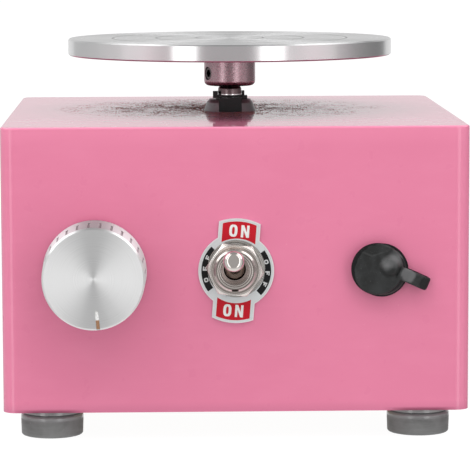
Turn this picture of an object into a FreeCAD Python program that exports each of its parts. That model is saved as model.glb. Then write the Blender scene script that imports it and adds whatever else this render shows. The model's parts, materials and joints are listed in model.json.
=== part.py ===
"""Small tabletop pottery wheel: a painted box on rubber feet with a direct-drive turntable.

Millimetres, +Z up. The origin is on the table, under the turntable's axis; the front panel
faces -Y. Every size is a cell of the Dims sheet, and each sub-part is bound to those cells.
"""
import FreeCAD, Part

import math
import os

import Sketcher
from FreeCAD import Placement, Rotation, Vector

document = FreeCAD.newDocument("PotteryWheel")
sheet = document.addObject("Spreadsheet::Sheet", "Dims")

DIMENSIONS = {
    "fits": {
        "thread_gap": 0.03, "slip_gap": 0.05, "hole_gap": 0.1, "press_gap": 0.02,
        "drive_slot": 0.9, "drive_depth": 1.0,
    },
    "housing": {
        "box_width": 132.0, "box_height": 80.7, "wall": 6.0, "box_rounding": 4.0,
        "deck_rounding": 0.6,
        "panel_thickness": 3.0, "panel_gap": 0.2, "block_width": 11.4,
        "controls_height": 48.5, "knob_x": -39.7, "jack_x": 40.9,
        "switch_x": -0.45, "switch_rise": 0.7,
        "boss_hole": 7.95, "pot_hole": 3.65, "barrel_hole": 6.15,
    },
    "feet": {
        "foot_height": 8.3, "foot_pitch": 52.6, "foot_lip_radius": 9.0, "foot_neck_radius": 7.9,
        "foot_shoulder_radius": 9.0, "foot_base_radius": 8.8, "foot_lip": 1.65,
        "foot_groove": 0.3, "foot_rounding": 0.6, "foot_shoulder_rounding": 1.0,
        "foot_recess_radius": 4.3, "foot_recess": 3.6,
        "foot_screw_radius": 1.9, "foot_head_radius": 3.6, "foot_head": 2.2, "foot_shank": 15.0,
        "foot_slot_length": 4.68,
    },
    "motor_mount": {
        "bracket_width": 58.0, "bracket_thickness": 3.0, "bracket_hole": 11.15,
        "bracket_screw_pitch": 24.0, "bracket_screw_radius": 1.6, "bracket_head_radius": 3.2,
        "bracket_head": 1.8, "bracket_shank": 8.0,
        "motor_screw_pitch": 14.5, "motor_screw_radius": 1.95, "motor_head_radius": 3.4,
        "motor_head": 1.9, "motor_shank": 3.4, "motor_screw_seat": 2.0, "motor_slot_length": 5.0,
    },
    "motor": {
        "can_radius": 21.0, "can_length": 58.0, "can_wall": 1.6, "can_front": 3.0,
        "can_rounding": 1.5, "bearing_radius": 6.5, "bearing_length": 4.5,
        "magnet_inner": 16.7, "magnet_outer": 19.3, "magnet_length": 38.0, "magnet_gap": 14.0,
        "magnet_level": 12.0, "shaft_tail": 1.5, "shaft_chamfer": 0.4, "core_level": 16.0,
        "cap_plate": 2.0, "cap_spigot": 3.0, "cap_boss_radius": 8.75, "cap_boss": 3.5,
        "rear_bearing_radius": 5.0, "shaft_radius": 2.5, "running_clearance": 0.04,
        "core_radius": 16.2, "core_length": 30.0, "slot_count": 5, "slot_width": 4.0,
        "slot_floor": 7.0, "winding_radius": 14.0, "winding_height": 4.0, "winding_sleeve": 2.0,
        "wire_side_gap": 0.3, "wire_top_gap": 0.2, "wire_overlap": 0.5,
        "commutator_radius": 6.0, "commutator_length": 8.0, "commutator_bars": 5,
        "commutator_gap": 0.3, "bar_cut_depth": 2.0, "bar_cut": 0.4, "brush_gap": 0.06,
        "brush_width": 4.0, "brush_length": 6.8, "holder_wall": 1.2, "holder_length": 9.4,
        "holder_gap": 1.6,
        "tab_width": 4.8, "tab_thickness": 0.8, "tab_length": 7.0, "tab_x": 14.0,
    },
    "spindle": {
        "housing_flange_radius": 11.0, "housing_flange": 2.0, "housing_radius": 7.7,
        "dome_foot_radius": 7.85, "dome_neck_radius": 7.55, "dome_side_radius": 6.95,
        "dome_top_radius": 6.2, "dome_height": 3.5, "dome_foot": 0.8, "dome_shoulder": 2.6,
        "dome_rounding": 0.7, "bush_radius": 4.35, "bush_body": 4.75, "bush_rounding": 0.4,
        "bush_leg_width": 6.8, "bush_leg_depth": 3.4, "bush_leg_front": 7.6,
        "bush_leg_height": 4.2, "bush_tab_width": 2.6, "bush_tab_reach": 5.15,
        "bush_tab_overlap": 0.73, "right_tab_extra": 0.1, "right_tab_y": -0.8,
        "right_tab_height": 1.1, "left_tab_y": -1.2, "left_tab_width": 2.08,
        "back_tab_x": 4.04, "back_tab_y": 1.2, "back_tab_width": 1.82, "back_tab_length": 0.84,
        "upper_tab_level": 3.9, "upper_tab_height": 2.05,
        "washer_radius": 3.5, "washer_thickness": 0.3, "washer_gap": 0.06,
        "collar_radius": 3.55, "collar_height": 2.3, "collar_rounding": 1.0,
        "hub_bottom": 7.6, "hub_radius": 7.75, "hub_rounding": 1.5, "hub_turn": 209.0,
        "spigot_radius": 5.0, "spigot": 3.0, "shaft_end": 7.6, "shaft_flat": 0.5,
        "hub_screw_radius": 1.95, "hub_screw_height": 3.8, "hub_screw_length": 4.6,
        "screw_recess": 0.35, "hex_socket": 1.1, "hex_depth": 2.2, "hub_screw_chamfer": 0.3,
        "disc_bottom": 17.0, "disc_thickness": 5.0, "disc_radius": 48.75, "disc_chamfer": 0.4,
        "groove_inner": 10.2, "groove_middle": 22.3, "groove_outer": 35.4,
        "groove_width": 0.5, "groove_depth": 0.3,
    },
    "speed_control": {
        "pot_radius": 8.0, "pot_depth": 9.5, "pot_wall": 0.8, "pot_front": 3.0,
        "pot_bushing_radius": 3.5, "pot_bushing": 2.4, "pot_shaft_radius": 3.0,
        "pot_shaft_end": 14.0, "pot_nut_flats": 10.0, "pot_nut": 2.0,
        "pot_shaft_chamfer": 0.5, "wafer_width": 14.0, "wafer_top": 8.05, "wafer_drop": 3.0,
        "wafer_level": 2.8, "wafer_thickness": 1.5, "lug_level": 3.3, "lug_thickness": 0.4,
        "lug_drop": 3.5,
        "lug_pitch": 5.0, "lug_width": 1.2, "wiper_radius": 6.6, "wiper_thickness": 1.4,
        "wiper_gap": 0.4,
        "knob_gap": 1.0, "knob_face": 17.0, "knob_base_radius": 14.6, "knob_front_radius": 14.2,
        "knob_chamfer": 0.5, "knob_shell": 1.5, "knob_front": 2.4, "flute_count": 28,
        "flute_radius": 0.6, "flute_depth": 0.35, "flute_length": 9.0, "insert_web": 4.0,
        "insert_boss": 5.4,
        "insert_recess": 2.6, "slot_inner": 8.7, "pointer_width": 1.0, "pointer_depth": 0.5,
        "knob_turn": 5.2,
    },
    "controller": {
        "board_width": 24.0, "board_length": 34.0, "board_thickness": 1.6, "board_x": -36.0,
        "board_y": -41.5, "board_top": 36.5, "block_x": -28.0, "block_y": -44.5,
        "block_depth": 8.0, "block_length": 20.0, "block_height": 7.0, "block_ways": 4,
        "entry_radius": 1.5, "entry_depth": 3.0, "clamp_radius": 1.5, "clamp_depth": 1.0,
        "capacitor_radius": 4.0, "capacitor_height": 12.0, "capacitor_rounding": 0.6,
        "capacitor_x": -39.0, "capacitor_y": -43.0, "transistor_width": 10.0,
        "transistor_depth": 4.4, "transistor_height": 9.0, "transistor_tab": 6.5,
        "transistor_tab_depth": 1.3, "transistor_x": -39.0, "transistor_y": -30.5,
        "transistor_legs": 3.0, "leg_pitch": 2.54, "leg_width": 0.8, "leg_thickness": 0.5,
        "leg_overlap": 0.5, "tab_hole_radius": 1.8, "tab_hole_height": 3.2,
        "lug_hole_radius": 0.75, "lug_hole_inset": 3.5,
    },
    "toggle_switch": {
        "plate_radius": 10.65, "plate_reach": 14.8, "plate_tab": 11.7, "plate_thickness": 0.8,
        "plate_hole": 6.9, "plate_turn": -4.5, "washer_outer": 8.1, "washer_hole": 6.5,
        "lock_washer": 0.6, "nut_flats": 14.0, "nut_height": 3.7, "nut_bevel": 0.7,
        "nut_turn": -6.0, "rear_nut": 2.6,
        "thread_radius": 5.95, "thread_end": 6.2, "mouth_radius": 3.75, "mouth_floor": 2.6,
        "seat_radius": 3.12, "seat_floor": -1.0, "throat_radius": 4.7, "bushing_chamfer": 0.5,
        "frame_inset": 0.3, "keyway_width": 1.9, "keyway_depth": 0.65,
        "switch_width": 18.0, "switch_length": 28.0, "switch_top": -9.0,
        "switch_frame": 1.2, "switch_depth": 18.0, "switch_wall": 2.0, "switch_floor": 3.0,
        "lug_rows": 9.0, "lug_columns": 4.8, "switch_lug": 5.0, "switch_lug_width": 4.0,
        "pivot_depth": 1.5, "ball_radius": 3.0, "lever_neck": 1.9, "lever_tip_radius": 2.87,
        "lever_rounding": 1.6, "lever_length": 19.0, "lever_tail": 12.0, "tail_radius": 1.3,
        "plunger_radius": 1.2, "plunger_rounding": 0.9, "plunger_reach": 16.5,
        "lever_throw": 14.0, "lever_lean": 2.3, "rocker_depth": 16.2, "rocker_half": 7.0,
        "rocker_width": 8.0, "rocker_thickness": 1.0, "rocker_tilt": 9.6,
    },
    "power_inlet": {
        "ring_radius": 7.5, "ring_thickness": 1.5, "flange_radius": 6.9, "flange_thickness": 1.5,
        "barrel_radius": 6.0, "barrel_length": 20.0, "inlet_radius": 3.1, "inlet_depth": 9.0,
        "flange_chamfer": 0.4, "inlet_nut": 2.6, "inlet_nut_turn": 30.0,
        "pin_radius": 1.05, "pin_tip": 0.6, "pin_stem_radius": 0.8, "pin_rounding": 0.4,
        "spring_width": 1.6, "spring_thickness": 0.25, "spring_gap": 0.12, "spring_length": 7.0,
        "inlet_lug_x": 2.5, "inlet_lug_width": 3.0, "inlet_lug_drop": 7.0,
        "strap_droop": -24.2, "strap_side": 1.67, "strap_width": 3.7, "strap_thickness": 1.3,
        "fold_x": 11.42, "fold_height": 2.25, "fold_inner": 0.85, "lid_radius": 7.3,
        "lid_shift": -1.6, "ring_overlap": 1.3, "plug_radius": 2.5, "plug_end": 1.2,
        "dome_radius": 3.3, "dome_rise": 1.2, "cap_rounding": 1.0, "dome_x": 1.3, "dome_y": 2.2,
    },
    "leads": {"lead_radius": 0.9},
}


class Dim:
    """A size that carries its number and the sheet expression that gives it."""

    def __init__(self, number, text=None):
        self.number = float(number)
        self.text = text if text else repr(float(number))

    def _join(self, other, sign, number):
        return Dim(number, "(%s %s %s)" % (self.text, sign, other.text))

    def __add__(self, other):
        other = as_dim(other)
        return self._join(other, "+", self.number + other.number)

    def __sub__(self, other):
        other = as_dim(other)
        return self._join(other, "-", self.number - other.number)

    def __mul__(self, other):
        other = as_dim(other)
        return self._join(other, "*", self.number * other.number)

    def __truediv__(self, other):
        other = as_dim(other)
        return self._join(other, "/", self.number / other.number)

    def __neg__(self):
        return Dim(0.0) - self

    __radd__ = __add__

    def __rsub__(self, other):
        return as_dim(other) - self

    def __rmul__(self, other):
        return self * other


def as_dim(value):
    return value if isinstance(value, Dim) else Dim(value)


def fill_sheet():
    """Write every dimension to the sheet and return them as named Dims."""
    named = {}
    row = 1
    for group, sizes in DIMENSIONS.items():
        sheet.set("A%d" % row, group)
        row += 1
        for alias, number in sizes.items():
            sheet.set("A%d" % row, alias)
            sheet.set("B%d" % row, str(number))
            sheet.setAlias("B%d" % row, alias)
            named[alias] = Dim(number, "Dims." + alias)
            row += 1
    document.recompute()
    return type("Sizes", (), named)


d = fill_sheet()
ZERO = Dim(0.0)
SIDES = (-1, 1)
CORNERS = [(sx, sy) for sx in SIDES for sy in SIDES]

half_box = d.box_width / 2
deck_top = d.foot_height + d.box_height
deck_under = deck_top - d.wall
cavity = d.box_width - d.wall * 2
motor_front = deck_under - d.bracket_thickness
motor_rear = motor_front - d.can_length

# Local frame of each front control: x right, y up, z out of the panel, z = 0 at its face.
FACING_FRONT = Rotation(Vector(1, 0, 0), 90)


def spun(rotation, angle):
    """The same frame turned by an angle about its own z."""
    return rotation.multiply(Rotation(Vector(0, 0, 1), angle.number))


def circle(radius, x=ZERO, y=ZERO):
    return ("circle", as_dim(x), as_dim(y), radius)


def polygon(*points):
    return ("polygon", [(as_dim(x), as_dim(y)) for x, y in points])


def rectangle(width, length, x=ZERO, y=ZERO):
    right = as_dim(x) + as_dim(width) / 2
    left = as_dim(x) - as_dim(width) / 2
    top = as_dim(y) + as_dim(length) / 2
    bottom = as_dim(y) - as_dim(length) / 2
    return polygon((left, bottom), (right, bottom), (right, top), (left, top))


def on_ring(radius, degrees):
    """Centre of a point at an angle on a circle round the origin."""
    angle = math.radians(degrees)
    return radius * round(math.cos(angle), 9), radius * round(math.sin(angle), 9)


def hexagon(flats):
    """Regular hexagon by its width across flats, with corners on the x axis."""
    corner = flats / math.sqrt(3)
    return polygon(*[on_ring(corner, 60 * k) for k in range(6)])


def pin_point(sketch, geometry, end, x, y):
    """Fix one sketch point at x, y, each bound to its expression."""
    for kind, size, axis in (("DistanceX", x, -2), ("DistanceY", y, -1)):
        if size.number == 0:
            sketch.addConstraint(Sketcher.Constraint("PointOnObject", geometry, end, axis))
        else:
            constraint = Sketcher.Constraint(kind, -1, 1, geometry, end, size.number)
            index = sketch.addConstraint(constraint)
            sketch.setExpression("Constraints[%d]" % index, size.text)


def draw(sketch, outline):
    if outline[0] == "circle":
        _, x, y, radius = outline
        centre = Vector(x.number, y.number, 0)
        index = sketch.addGeometry(Part.Circle(centre, Vector(0, 0, 1), radius.number))
        constraint = Sketcher.Constraint("Radius", index, radius.number)
        sketch.setExpression("Constraints[%d]" % sketch.addConstraint(constraint), radius.text)
        pin_point(sketch, index, 3, x, y)
        return
    points = outline[1]
    corners = [Vector(x.number, y.number, 0) for x, y in points]
    lines = [
        sketch.addGeometry(Part.LineSegment(start, end))
        for start, end in zip(corners, corners[1:] + corners[:1])
    ]
    for line, following in zip(lines, lines[1:] + lines[:1]):
        sketch.addConstraint(Sketcher.Constraint("Coincident", line, 2, following, 1))
    for line, (x, y) in zip(lines, points):
        pin_point(sketch, line, 1, x, y)


class Piece:
    """One sub-part: a PartDesign body built from sketches, with a label and a placement."""

    made = []

    def __init__(self, name, x=ZERO, y=ZERO, z=ZERO, rotation=None):
        self.name = name
        self.body = document.addObject("PartDesign::Body", name)
        self.body.Label = name
        self.body.AllowCompound = True
        place = [as_dim(size) for size in (x, y, z)]
        base = Vector(*[size.number for size in place])
        self.body.Placement = Placement(base, rotation if rotation else Rotation())
        for axis, size in zip("xyz", place):
            self.body.setExpression(".Placement.Base." + axis, size.text)
        Piece.made.append(self.body)

    def _sketch(self, outlines, level, plane):
        sketch = self.body.newObject("Sketcher::SketchObject", self.name + "_sketch")
        origin = self.body.Origin.OriginFeatures
        support = [feature for feature in origin if feature.Role == plane][0]
        sketch.AttachmentSupport = [(support, "")]
        sketch.MapMode = "FlatFace"
        sketch.setExpression(".AttachmentOffset.Base.z", as_dim(level).text)
        for outline in outlines:
            draw(sketch, outline)
        return sketch

    def _feature(self, kind, sketch):
        feature = self.body.newObject("PartDesign::" + kind, self.name + "_" + kind.lower())
        if sketch:
            feature.Profile = sketch
            sketch.Visibility = False
        self.last = feature
        return feature

    def _settle(self, cuts=None):
        """Recompute, and when the feature has to cut, see that it took material away."""
        before = self.volume if cuts else None
        document.recompute()
        self.volume = self.body.Shape.Volume
        if cuts and not self.volume < before - 1e-6:
            raise RuntimeError("%s cut nothing in %s" % (self.last.Name, self.name))
        return self

    def pad(self, outlines, level, length, plane="XY_Plane", midplane=False):
        feature = self._feature("Pad", self._sketch(outlines, level, plane))
        feature.Midplane = midplane
        feature.setExpression("Length", as_dim(length).text)
        return self._settle()

    def pocket(self, outlines, level, depth, plane="XY_Plane", midplane=False):
        """Cut from the level against the plane's normal."""
        feature = self._feature("Pocket", self._sketch(outlines, level, plane))
        feature.Midplane = midplane
        feature.setExpression("Length", as_dim(depth).text)
        return self._settle(cuts=True)

    def revolve(self, *points):
        """Turn a half profile of (radius, z) points about the local z axis."""
        sketch = self._sketch([polygon(*points)], ZERO, "XZ_Plane")
        feature = self._feature("Revolution", sketch)
        feature.ReferenceAxis = (sketch, ["V_Axis"])
        feature.Angle = 360
        return self._settle()

    def groove(self, *points):
        sketch = self._sketch([polygon(*points)], ZERO, "XZ_Plane")
        feature = self._feature("Groove", sketch)
        feature.ReferenceAxis = (sketch, ["V_Axis"])
        feature.Angle = 360
        return self._settle(cuts=True)

    def repeat(self, count):
        """Repeat the last feature round the local z axis."""
        original = self.last
        pattern = self._feature("PolarPattern", None)
        pattern.Originals = [original]
        z_axis = [f for f in self.body.Origin.OriginFeatures if f.Role == "Z_Axis"][0]
        pattern.Axis = (z_axis, [""])
        pattern.Angle = 360
        pattern.setExpression("Occurrences", count.text)
        self.body.Tip = pattern
        return self._settle(cuts=True)

    def _dress(self, kind, size_name, size, chosen):
        edges = [
            "Edge%d" % (index + 1)
            for index, edge in enumerate(self.last.Shape.Edges)
            if chosen(edge)
        ]
        if not edges:
            raise RuntimeError("no edge to dress in " + self.name)
        base = self.last
        feature = self._feature(kind, None)
        feature.Base = (base, edges)
        feature.setExpression(size_name, size.text)
        return self._settle()

    def fillet(self, radius, chosen):
        return self._dress("Fillet", "Radius", radius, chosen)

    def chamfer(self, size, chosen):
        return self._dress("Chamfer", "Size", size, chosen)


def rim(radius, z):
    """Choose the circular edge of a radius at a height."""
    def chosen(edge):
        return (
            isinstance(edge.Curve, Part.Circle)
            and abs(edge.Curve.Radius - as_dim(radius).number) < 1e-4
            and abs(edge.Curve.Center.z - as_dim(z).number) < 1e-4
        )
    return chosen


def make_housing():
    """Box shell with its deck; open underneath, holes for the spindle and the controls."""
    floor = d.box_height - d.wall

    def upright(edge):
        return edge.BoundBox.ZLength > 1

    def round_deck(edge):
        return edge.BoundBox.ZMin > d.box_height.number - 1e-4

    control = d.controls_height - d.foot_height
    housing = Piece("housing", z=d.foot_height)
    housing.pad([rectangle(d.box_width, d.box_width)], ZERO, d.box_height)
    housing.fillet(d.box_rounding, upright)
    housing.fillet(d.deck_rounding, round_deck)
    housing.pocket([rectangle(cavity, cavity)], floor, floor)
    housing.pocket([circle(d.boss_hole)], d.box_height, d.wall)
    bite = d.bracket_shank - d.bracket_thickness + d.hole_gap
    pitch = d.bracket_screw_pitch
    pilot = d.bracket_screw_radius + d.thread_gap
    pilots = [circle(pilot, pitch * sx, pitch * sy) for sx, sy in CORNERS]
    housing.pocket(pilots, floor + bite, bite)
    holes = [
        circle(d.pot_hole, d.knob_x, control),
        circle(d.barrel_hole, d.switch_x, control + d.switch_rise),
        circle(d.barrel_hole, d.jack_x, control),
    ]
    housing.pocket(holes, half_box, d.wall, plane="XZ_Plane")


def make_base():
    """Bottom panel, glue blocks, feet and the screws that hold all three together."""
    side = cavity - d.panel_gap * 2
    places = [(d.foot_pitch * sx, d.foot_pitch * sy) for sx, sy in CORNERS]
    panel = Piece("bottom_panel", z=d.foot_height)
    panel.pad([rectangle(side, side)], ZERO, d.panel_thickness)
    shank_holes = [circle(d.foot_screw_radius + d.hole_gap, x, y) for x, y in places]
    panel.pocket(shank_holes, d.panel_thickness, d.panel_thickness)

    width = d.block_width
    reach = (cavity - width) / 2
    blocks = Piece("corner_blocks", z=d.foot_height + d.panel_thickness)
    squares = [rectangle(width, width, reach * sx, reach * sy) for sx, sy in CORNERS]
    height = d.box_height - d.wall - d.panel_thickness
    blocks.pad(squares, ZERO, height)
    pilot = [circle(d.foot_screw_radius + d.thread_gap, x, y) for x, y in places]
    blocks.pocket(pilot, d.foot_shank, d.foot_shank)

    top = d.foot_height
    groove_top = top - d.foot_lip
    shoulder = groove_top - d.foot_groove
    for (sx, sy), (x, y) in zip(CORNERS, places):
        name = "foot_%s_%s" % ("front" if sy < 0 else "rear", "left" if sx < 0 else "right")
        foot = Piece(name, x, y)
        foot.revolve(
            (d.foot_screw_radius + d.hole_gap, d.foot_recess),
            (d.foot_recess_radius, d.foot_recess),
            (d.foot_recess_radius, 0),
            (d.foot_base_radius, 0),
            (d.foot_shoulder_radius, shoulder),
            (d.foot_neck_radius, shoulder),
            (d.foot_neck_radius, groove_top),
            (d.foot_lip_radius, groove_top),
            (d.foot_lip_radius, top),
            (d.foot_screw_radius + d.hole_gap, top),
        )
        foot.fillet(d.foot_rounding, rim(d.foot_base_radius, 0))
        foot.fillet(d.foot_shoulder_rounding, rim(d.foot_shoulder_radius, shoulder))

    screws = Piece("foot_screws", z=d.foot_recess - d.foot_head)
    heads = [circle(d.foot_head_radius, x, y) for x, y in places]
    shanks = [circle(d.foot_screw_radius, x, y) for x, y in places]
    screws.pad(heads, ZERO, d.foot_head)
    screws.pad(shanks, d.foot_head, top - d.foot_recess + d.foot_shank)
    slots = [rectangle(d.drive_slot, d.foot_slot_length, x, y) for x, y in places]
    screws.pocket(slots, d.drive_depth, d.drive_depth)


def make_motor_mount():
    """Steel plate under the deck with its wood screws and the two screws into the motor."""
    corners = [(d.bracket_screw_pitch * sx, d.bracket_screw_pitch * sy) for sx, sy in CORNERS]
    sides = [(d.motor_screw_pitch * sx, ZERO) for sx in SIDES]
    thick = d.bracket_thickness
    bracket = Piece("motor_bracket", z=motor_front)
    bracket.pad([rectangle(d.bracket_width, d.bracket_width)], ZERO, thick)
    holes = [circle(d.bracket_hole)]
    holes += [circle(d.bracket_screw_radius + d.slip_gap, x, y) for x, y in corners]
    holes += [circle(d.motor_screw_radius + d.slip_gap, x, y) for x, y in sides]
    bracket.pocket(holes, thick, thick)
    seats = [circle(d.motor_head_radius + d.hole_gap, x, y) for x, y in sides]
    bracket.pocket(seats, thick, d.motor_screw_seat)

    wood = Piece("bracket_screws", z=motor_front - d.bracket_head)
    wood.pad([circle(d.bracket_head_radius, x, y) for x, y in corners], ZERO, d.bracket_head)
    shanks = [circle(d.bracket_screw_radius, x, y) for x, y in corners]
    wood.pad(shanks, d.bracket_head, d.bracket_shank)

    heads = Piece("motor_screws", z=deck_under - d.motor_screw_seat)
    heads.pad([circle(d.motor_head_radius, x, y) for x, y in sides], ZERO, d.motor_head)
    shanks = [circle(d.motor_screw_radius, x, y) for x, y in sides]
    heads.pad(shanks, -d.motor_shank, d.motor_shank)
    slots = [rectangle(d.drive_slot, d.motor_slot_length, x, y) for x, y in sides]
    heads.pocket(slots, d.motor_head, d.drive_depth)


def make_motor():
    """Brushed direct-drive motor hanging under the bracket; local z = 0 at its front face."""
    length = d.can_length
    inner = d.can_radius - d.can_wall
    bore = d.shaft_radius + d.running_clearance
    can = Piece("motor_can", z=motor_front)
    can.revolve(
        (d.bearing_radius, -d.can_front),
        (d.bearing_radius, 0),
        (d.can_radius, 0),
        (d.can_radius, -length),
        (inner, -length),
        (inner, -d.can_front),
    )
    can.fillet(d.can_rounding, rim(d.can_radius, 0))
    thread = d.motor_screw_radius + d.slip_gap
    threads = [circle(thread, d.motor_screw_pitch * sx, 0) for sx in SIDES]
    can.pocket(threads, ZERO, d.can_front)

    front = Piece("front_bearing", z=motor_front - d.bearing_length)
    front.pad([circle(d.bearing_radius - d.press_gap), circle(bore)], ZERO, d.bearing_length)

    magnets = Piece("motor_magnets", z=motor_rear + d.magnet_level)
    magnets.pad([circle(d.magnet_outer), circle(d.magnet_inner)], ZERO, d.magnet_length)
    gap = rectangle(d.magnet_gap, d.magnet_outer * 2.2)
    magnets.pocket([gap], d.magnet_length, d.magnet_length)

    boss_end = -(d.cap_plate + d.cap_boss)
    cap = Piece("motor_end_cap", z=motor_rear)
    cap.revolve(
        (d.rear_bearing_radius, boss_end),
        (d.cap_boss_radius, boss_end),
        (d.cap_boss_radius, -d.cap_plate),
        (d.can_radius, -d.cap_plate),
        (d.can_radius, 0),
        (inner - d.slip_gap, 0),
        (inner - d.slip_gap, d.cap_spigot),
        (d.rear_bearing_radius, d.cap_spigot),
    )
    across = d.tab_thickness + d.hole_gap
    along = d.tab_width + d.hole_gap
    slots = [rectangle(across, along, d.tab_x * sx, 0) for sx in SIDES]
    cap.pocket(slots, d.cap_spigot, d.cap_spigot + d.cap_plate)

    rear = Piece("rear_bearing", z=motor_rear + boss_end)
    rear.pad([circle(d.rear_bearing_radius - d.press_gap), circle(bore)], ZERO, d.bearing_length)

    make_brushes()
    make_rotor(boss_end)


def make_brushes():
    """Brass brush holders with their terminal tabs, and the carbon brushes in them."""
    start = d.commutator_radius + d.holder_gap
    middle = start + d.holder_length / 2
    width = d.brush_width + d.holder_wall * 2
    holders = Piece("brush_holders", z=motor_rear + d.cap_spigot)
    boxes = [rectangle(d.holder_length, width, middle * sx, 0) for sx in SIDES]
    holders.pad(boxes, ZERO, width)
    centre = width / 2
    side = d.brush_width + d.brush_gap
    channel = rectangle(side, side, 0, centre)
    holders.pocket([channel], ZERO, cavity / 2, plane="YZ_Plane", midplane=True)
    tabs = [rectangle(d.tab_thickness, d.tab_width, d.tab_x * sx, 0) for sx in SIDES]
    reach = d.cap_spigot + d.cap_plate + d.tab_length
    holders.pad(tabs, -reach, reach + d.holder_wall)

    brushes = Piece("brushes", z=motor_rear + d.cap_spigot + d.holder_wall)
    near = d.commutator_radius + d.brush_gap + d.brush_length / 2
    blocks = [rectangle(d.brush_length, d.brush_width, near * sx, 0) for sx in SIDES]
    brushes.pad(blocks, d.brush_gap / 2, d.brush_width - d.brush_gap / 2)


def make_rotor(boss_end):
    """Everything of the motor that turns with the spindle."""
    shaft_top = deck_top + d.hub_bottom + d.shaft_end
    bottom = motor_rear + boss_end - d.shaft_tail
    length = shaft_top - bottom
    turned = Rotation(Vector(0, 0, 1), d.hub_turn.number)
    shaft = Piece("motor_shaft", z=bottom, rotation=turned)
    shaft.pad([circle(d.shaft_radius)], ZERO, length)
    shaft.chamfer(d.shaft_chamfer, rim(d.shaft_radius, 0))
    flat_x = d.shaft_radius * 2 - d.shaft_flat
    flat = rectangle(d.shaft_radius * 2, d.shaft_radius * 3, flat_x, 0)
    shaft.pocket([flat], length, d.shaft_end)

    core_bottom = motor_rear + d.core_level
    core = Piece("rotor_core", z=core_bottom)
    core.pad([circle(d.core_radius), circle(d.shaft_radius)], ZERO, d.core_length)
    slot_reach = d.core_radius * 1.1 - d.slot_floor
    slot = rectangle(slot_reach, d.slot_width, d.slot_floor + slot_reach / 2, 0)
    core.pocket([slot], d.core_length, d.core_length)
    core.repeat(d.slot_count)

    winding = Piece("rotor_winding", z=core_bottom)
    ring = [circle(d.winding_radius), circle(d.shaft_radius + d.winding_sleeve)]
    winding.pad(ring, -d.winding_height, d.winding_height)
    winding.pad(ring, d.core_length, d.winding_height)
    fill = d.slot_width / 2 - d.wire_side_gap
    middle = d.winding_radius - fill - d.wire_top_gap
    step = 360 / d.slot_count.number
    wires = [circle(fill, *on_ring(middle, step * k)) for k in range(int(d.slot_count.number))]
    winding.pad(wires, -d.wire_overlap, d.core_length + d.wire_overlap * 2)

    commutator = Piece("commutator", z=motor_rear + d.cap_spigot + d.commutator_gap)
    rings = [circle(d.commutator_radius), circle(d.shaft_radius)]
    commutator.pad(rings, ZERO, d.commutator_length)
    cut = rectangle(d.bar_cut_depth, d.bar_cut, d.commutator_radius, 0)
    commutator.pocket([cut], d.commutator_length, d.commutator_length)
    commutator.repeat(d.commutator_bars)


def make_bearing_housing():
    """Grey metal housing that comes up through the deck, with a slot at the front."""
    flange_top = motor_front + d.housing_flange
    above = deck_top
    inner = d.bush_radius + d.slip_gap
    housing = Piece("bearing_housing")
    housing.revolve(
        (inner, motor_front),
        (d.housing_flange_radius, motor_front),
        (d.housing_flange_radius, flange_top),
        (d.housing_radius, flange_top),
        (d.housing_radius, above),
        (d.dome_foot_radius, above),
        (d.dome_neck_radius, above + d.dome_foot),
        (d.dome_side_radius, above + d.dome_shoulder),
        (d.dome_top_radius, above + d.dome_height),
        (inner, above + d.dome_height),
    )
    housing.fillet(d.dome_rounding, rim(d.dome_side_radius, above + d.dome_shoulder))
    opening = d.bush_leg_width + d.hole_gap
    slot = rectangle(opening, d.housing_radius * 1.2, 0, -d.housing_radius * 0.6)
    housing.pocket([slot], above + d.dome_height, d.dome_height)

    bush = Piece("shaft_bush")
    bore = d.shaft_radius + d.running_clearance
    top = above + d.bush_body
    bush.pad([circle(d.bush_radius), circle(bore)], motor_front, top - motor_front)
    bush.fillet(d.bush_rounding, rim(d.bush_radius, top))
    leg = rectangle(d.bush_leg_width, d.bush_leg_depth, 0, d.bush_leg_depth / 2 - d.bush_leg_front)
    bush.pad([leg], above + d.slip_gap, d.bush_leg_height)
    span = d.bush_tab_reach - d.bush_radius + d.bush_tab_overlap
    tab_x = d.bush_tab_reach - span / 2
    right_span = span + d.right_tab_extra
    right_x = tab_x + d.right_tab_extra / 2
    lower = [rectangle(right_span, d.bush_tab_width, right_x, d.right_tab_y)]
    upper = [
        rectangle(span, d.left_tab_width, -tab_x, d.left_tab_y),
        rectangle(d.back_tab_length, d.back_tab_width, d.back_tab_x, d.back_tab_y),
    ]
    bush.pad(lower, above + d.dome_height + d.slip_gap, d.right_tab_height)
    bush.pad(upper, above + d.upper_tab_level, d.upper_tab_height)


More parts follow.
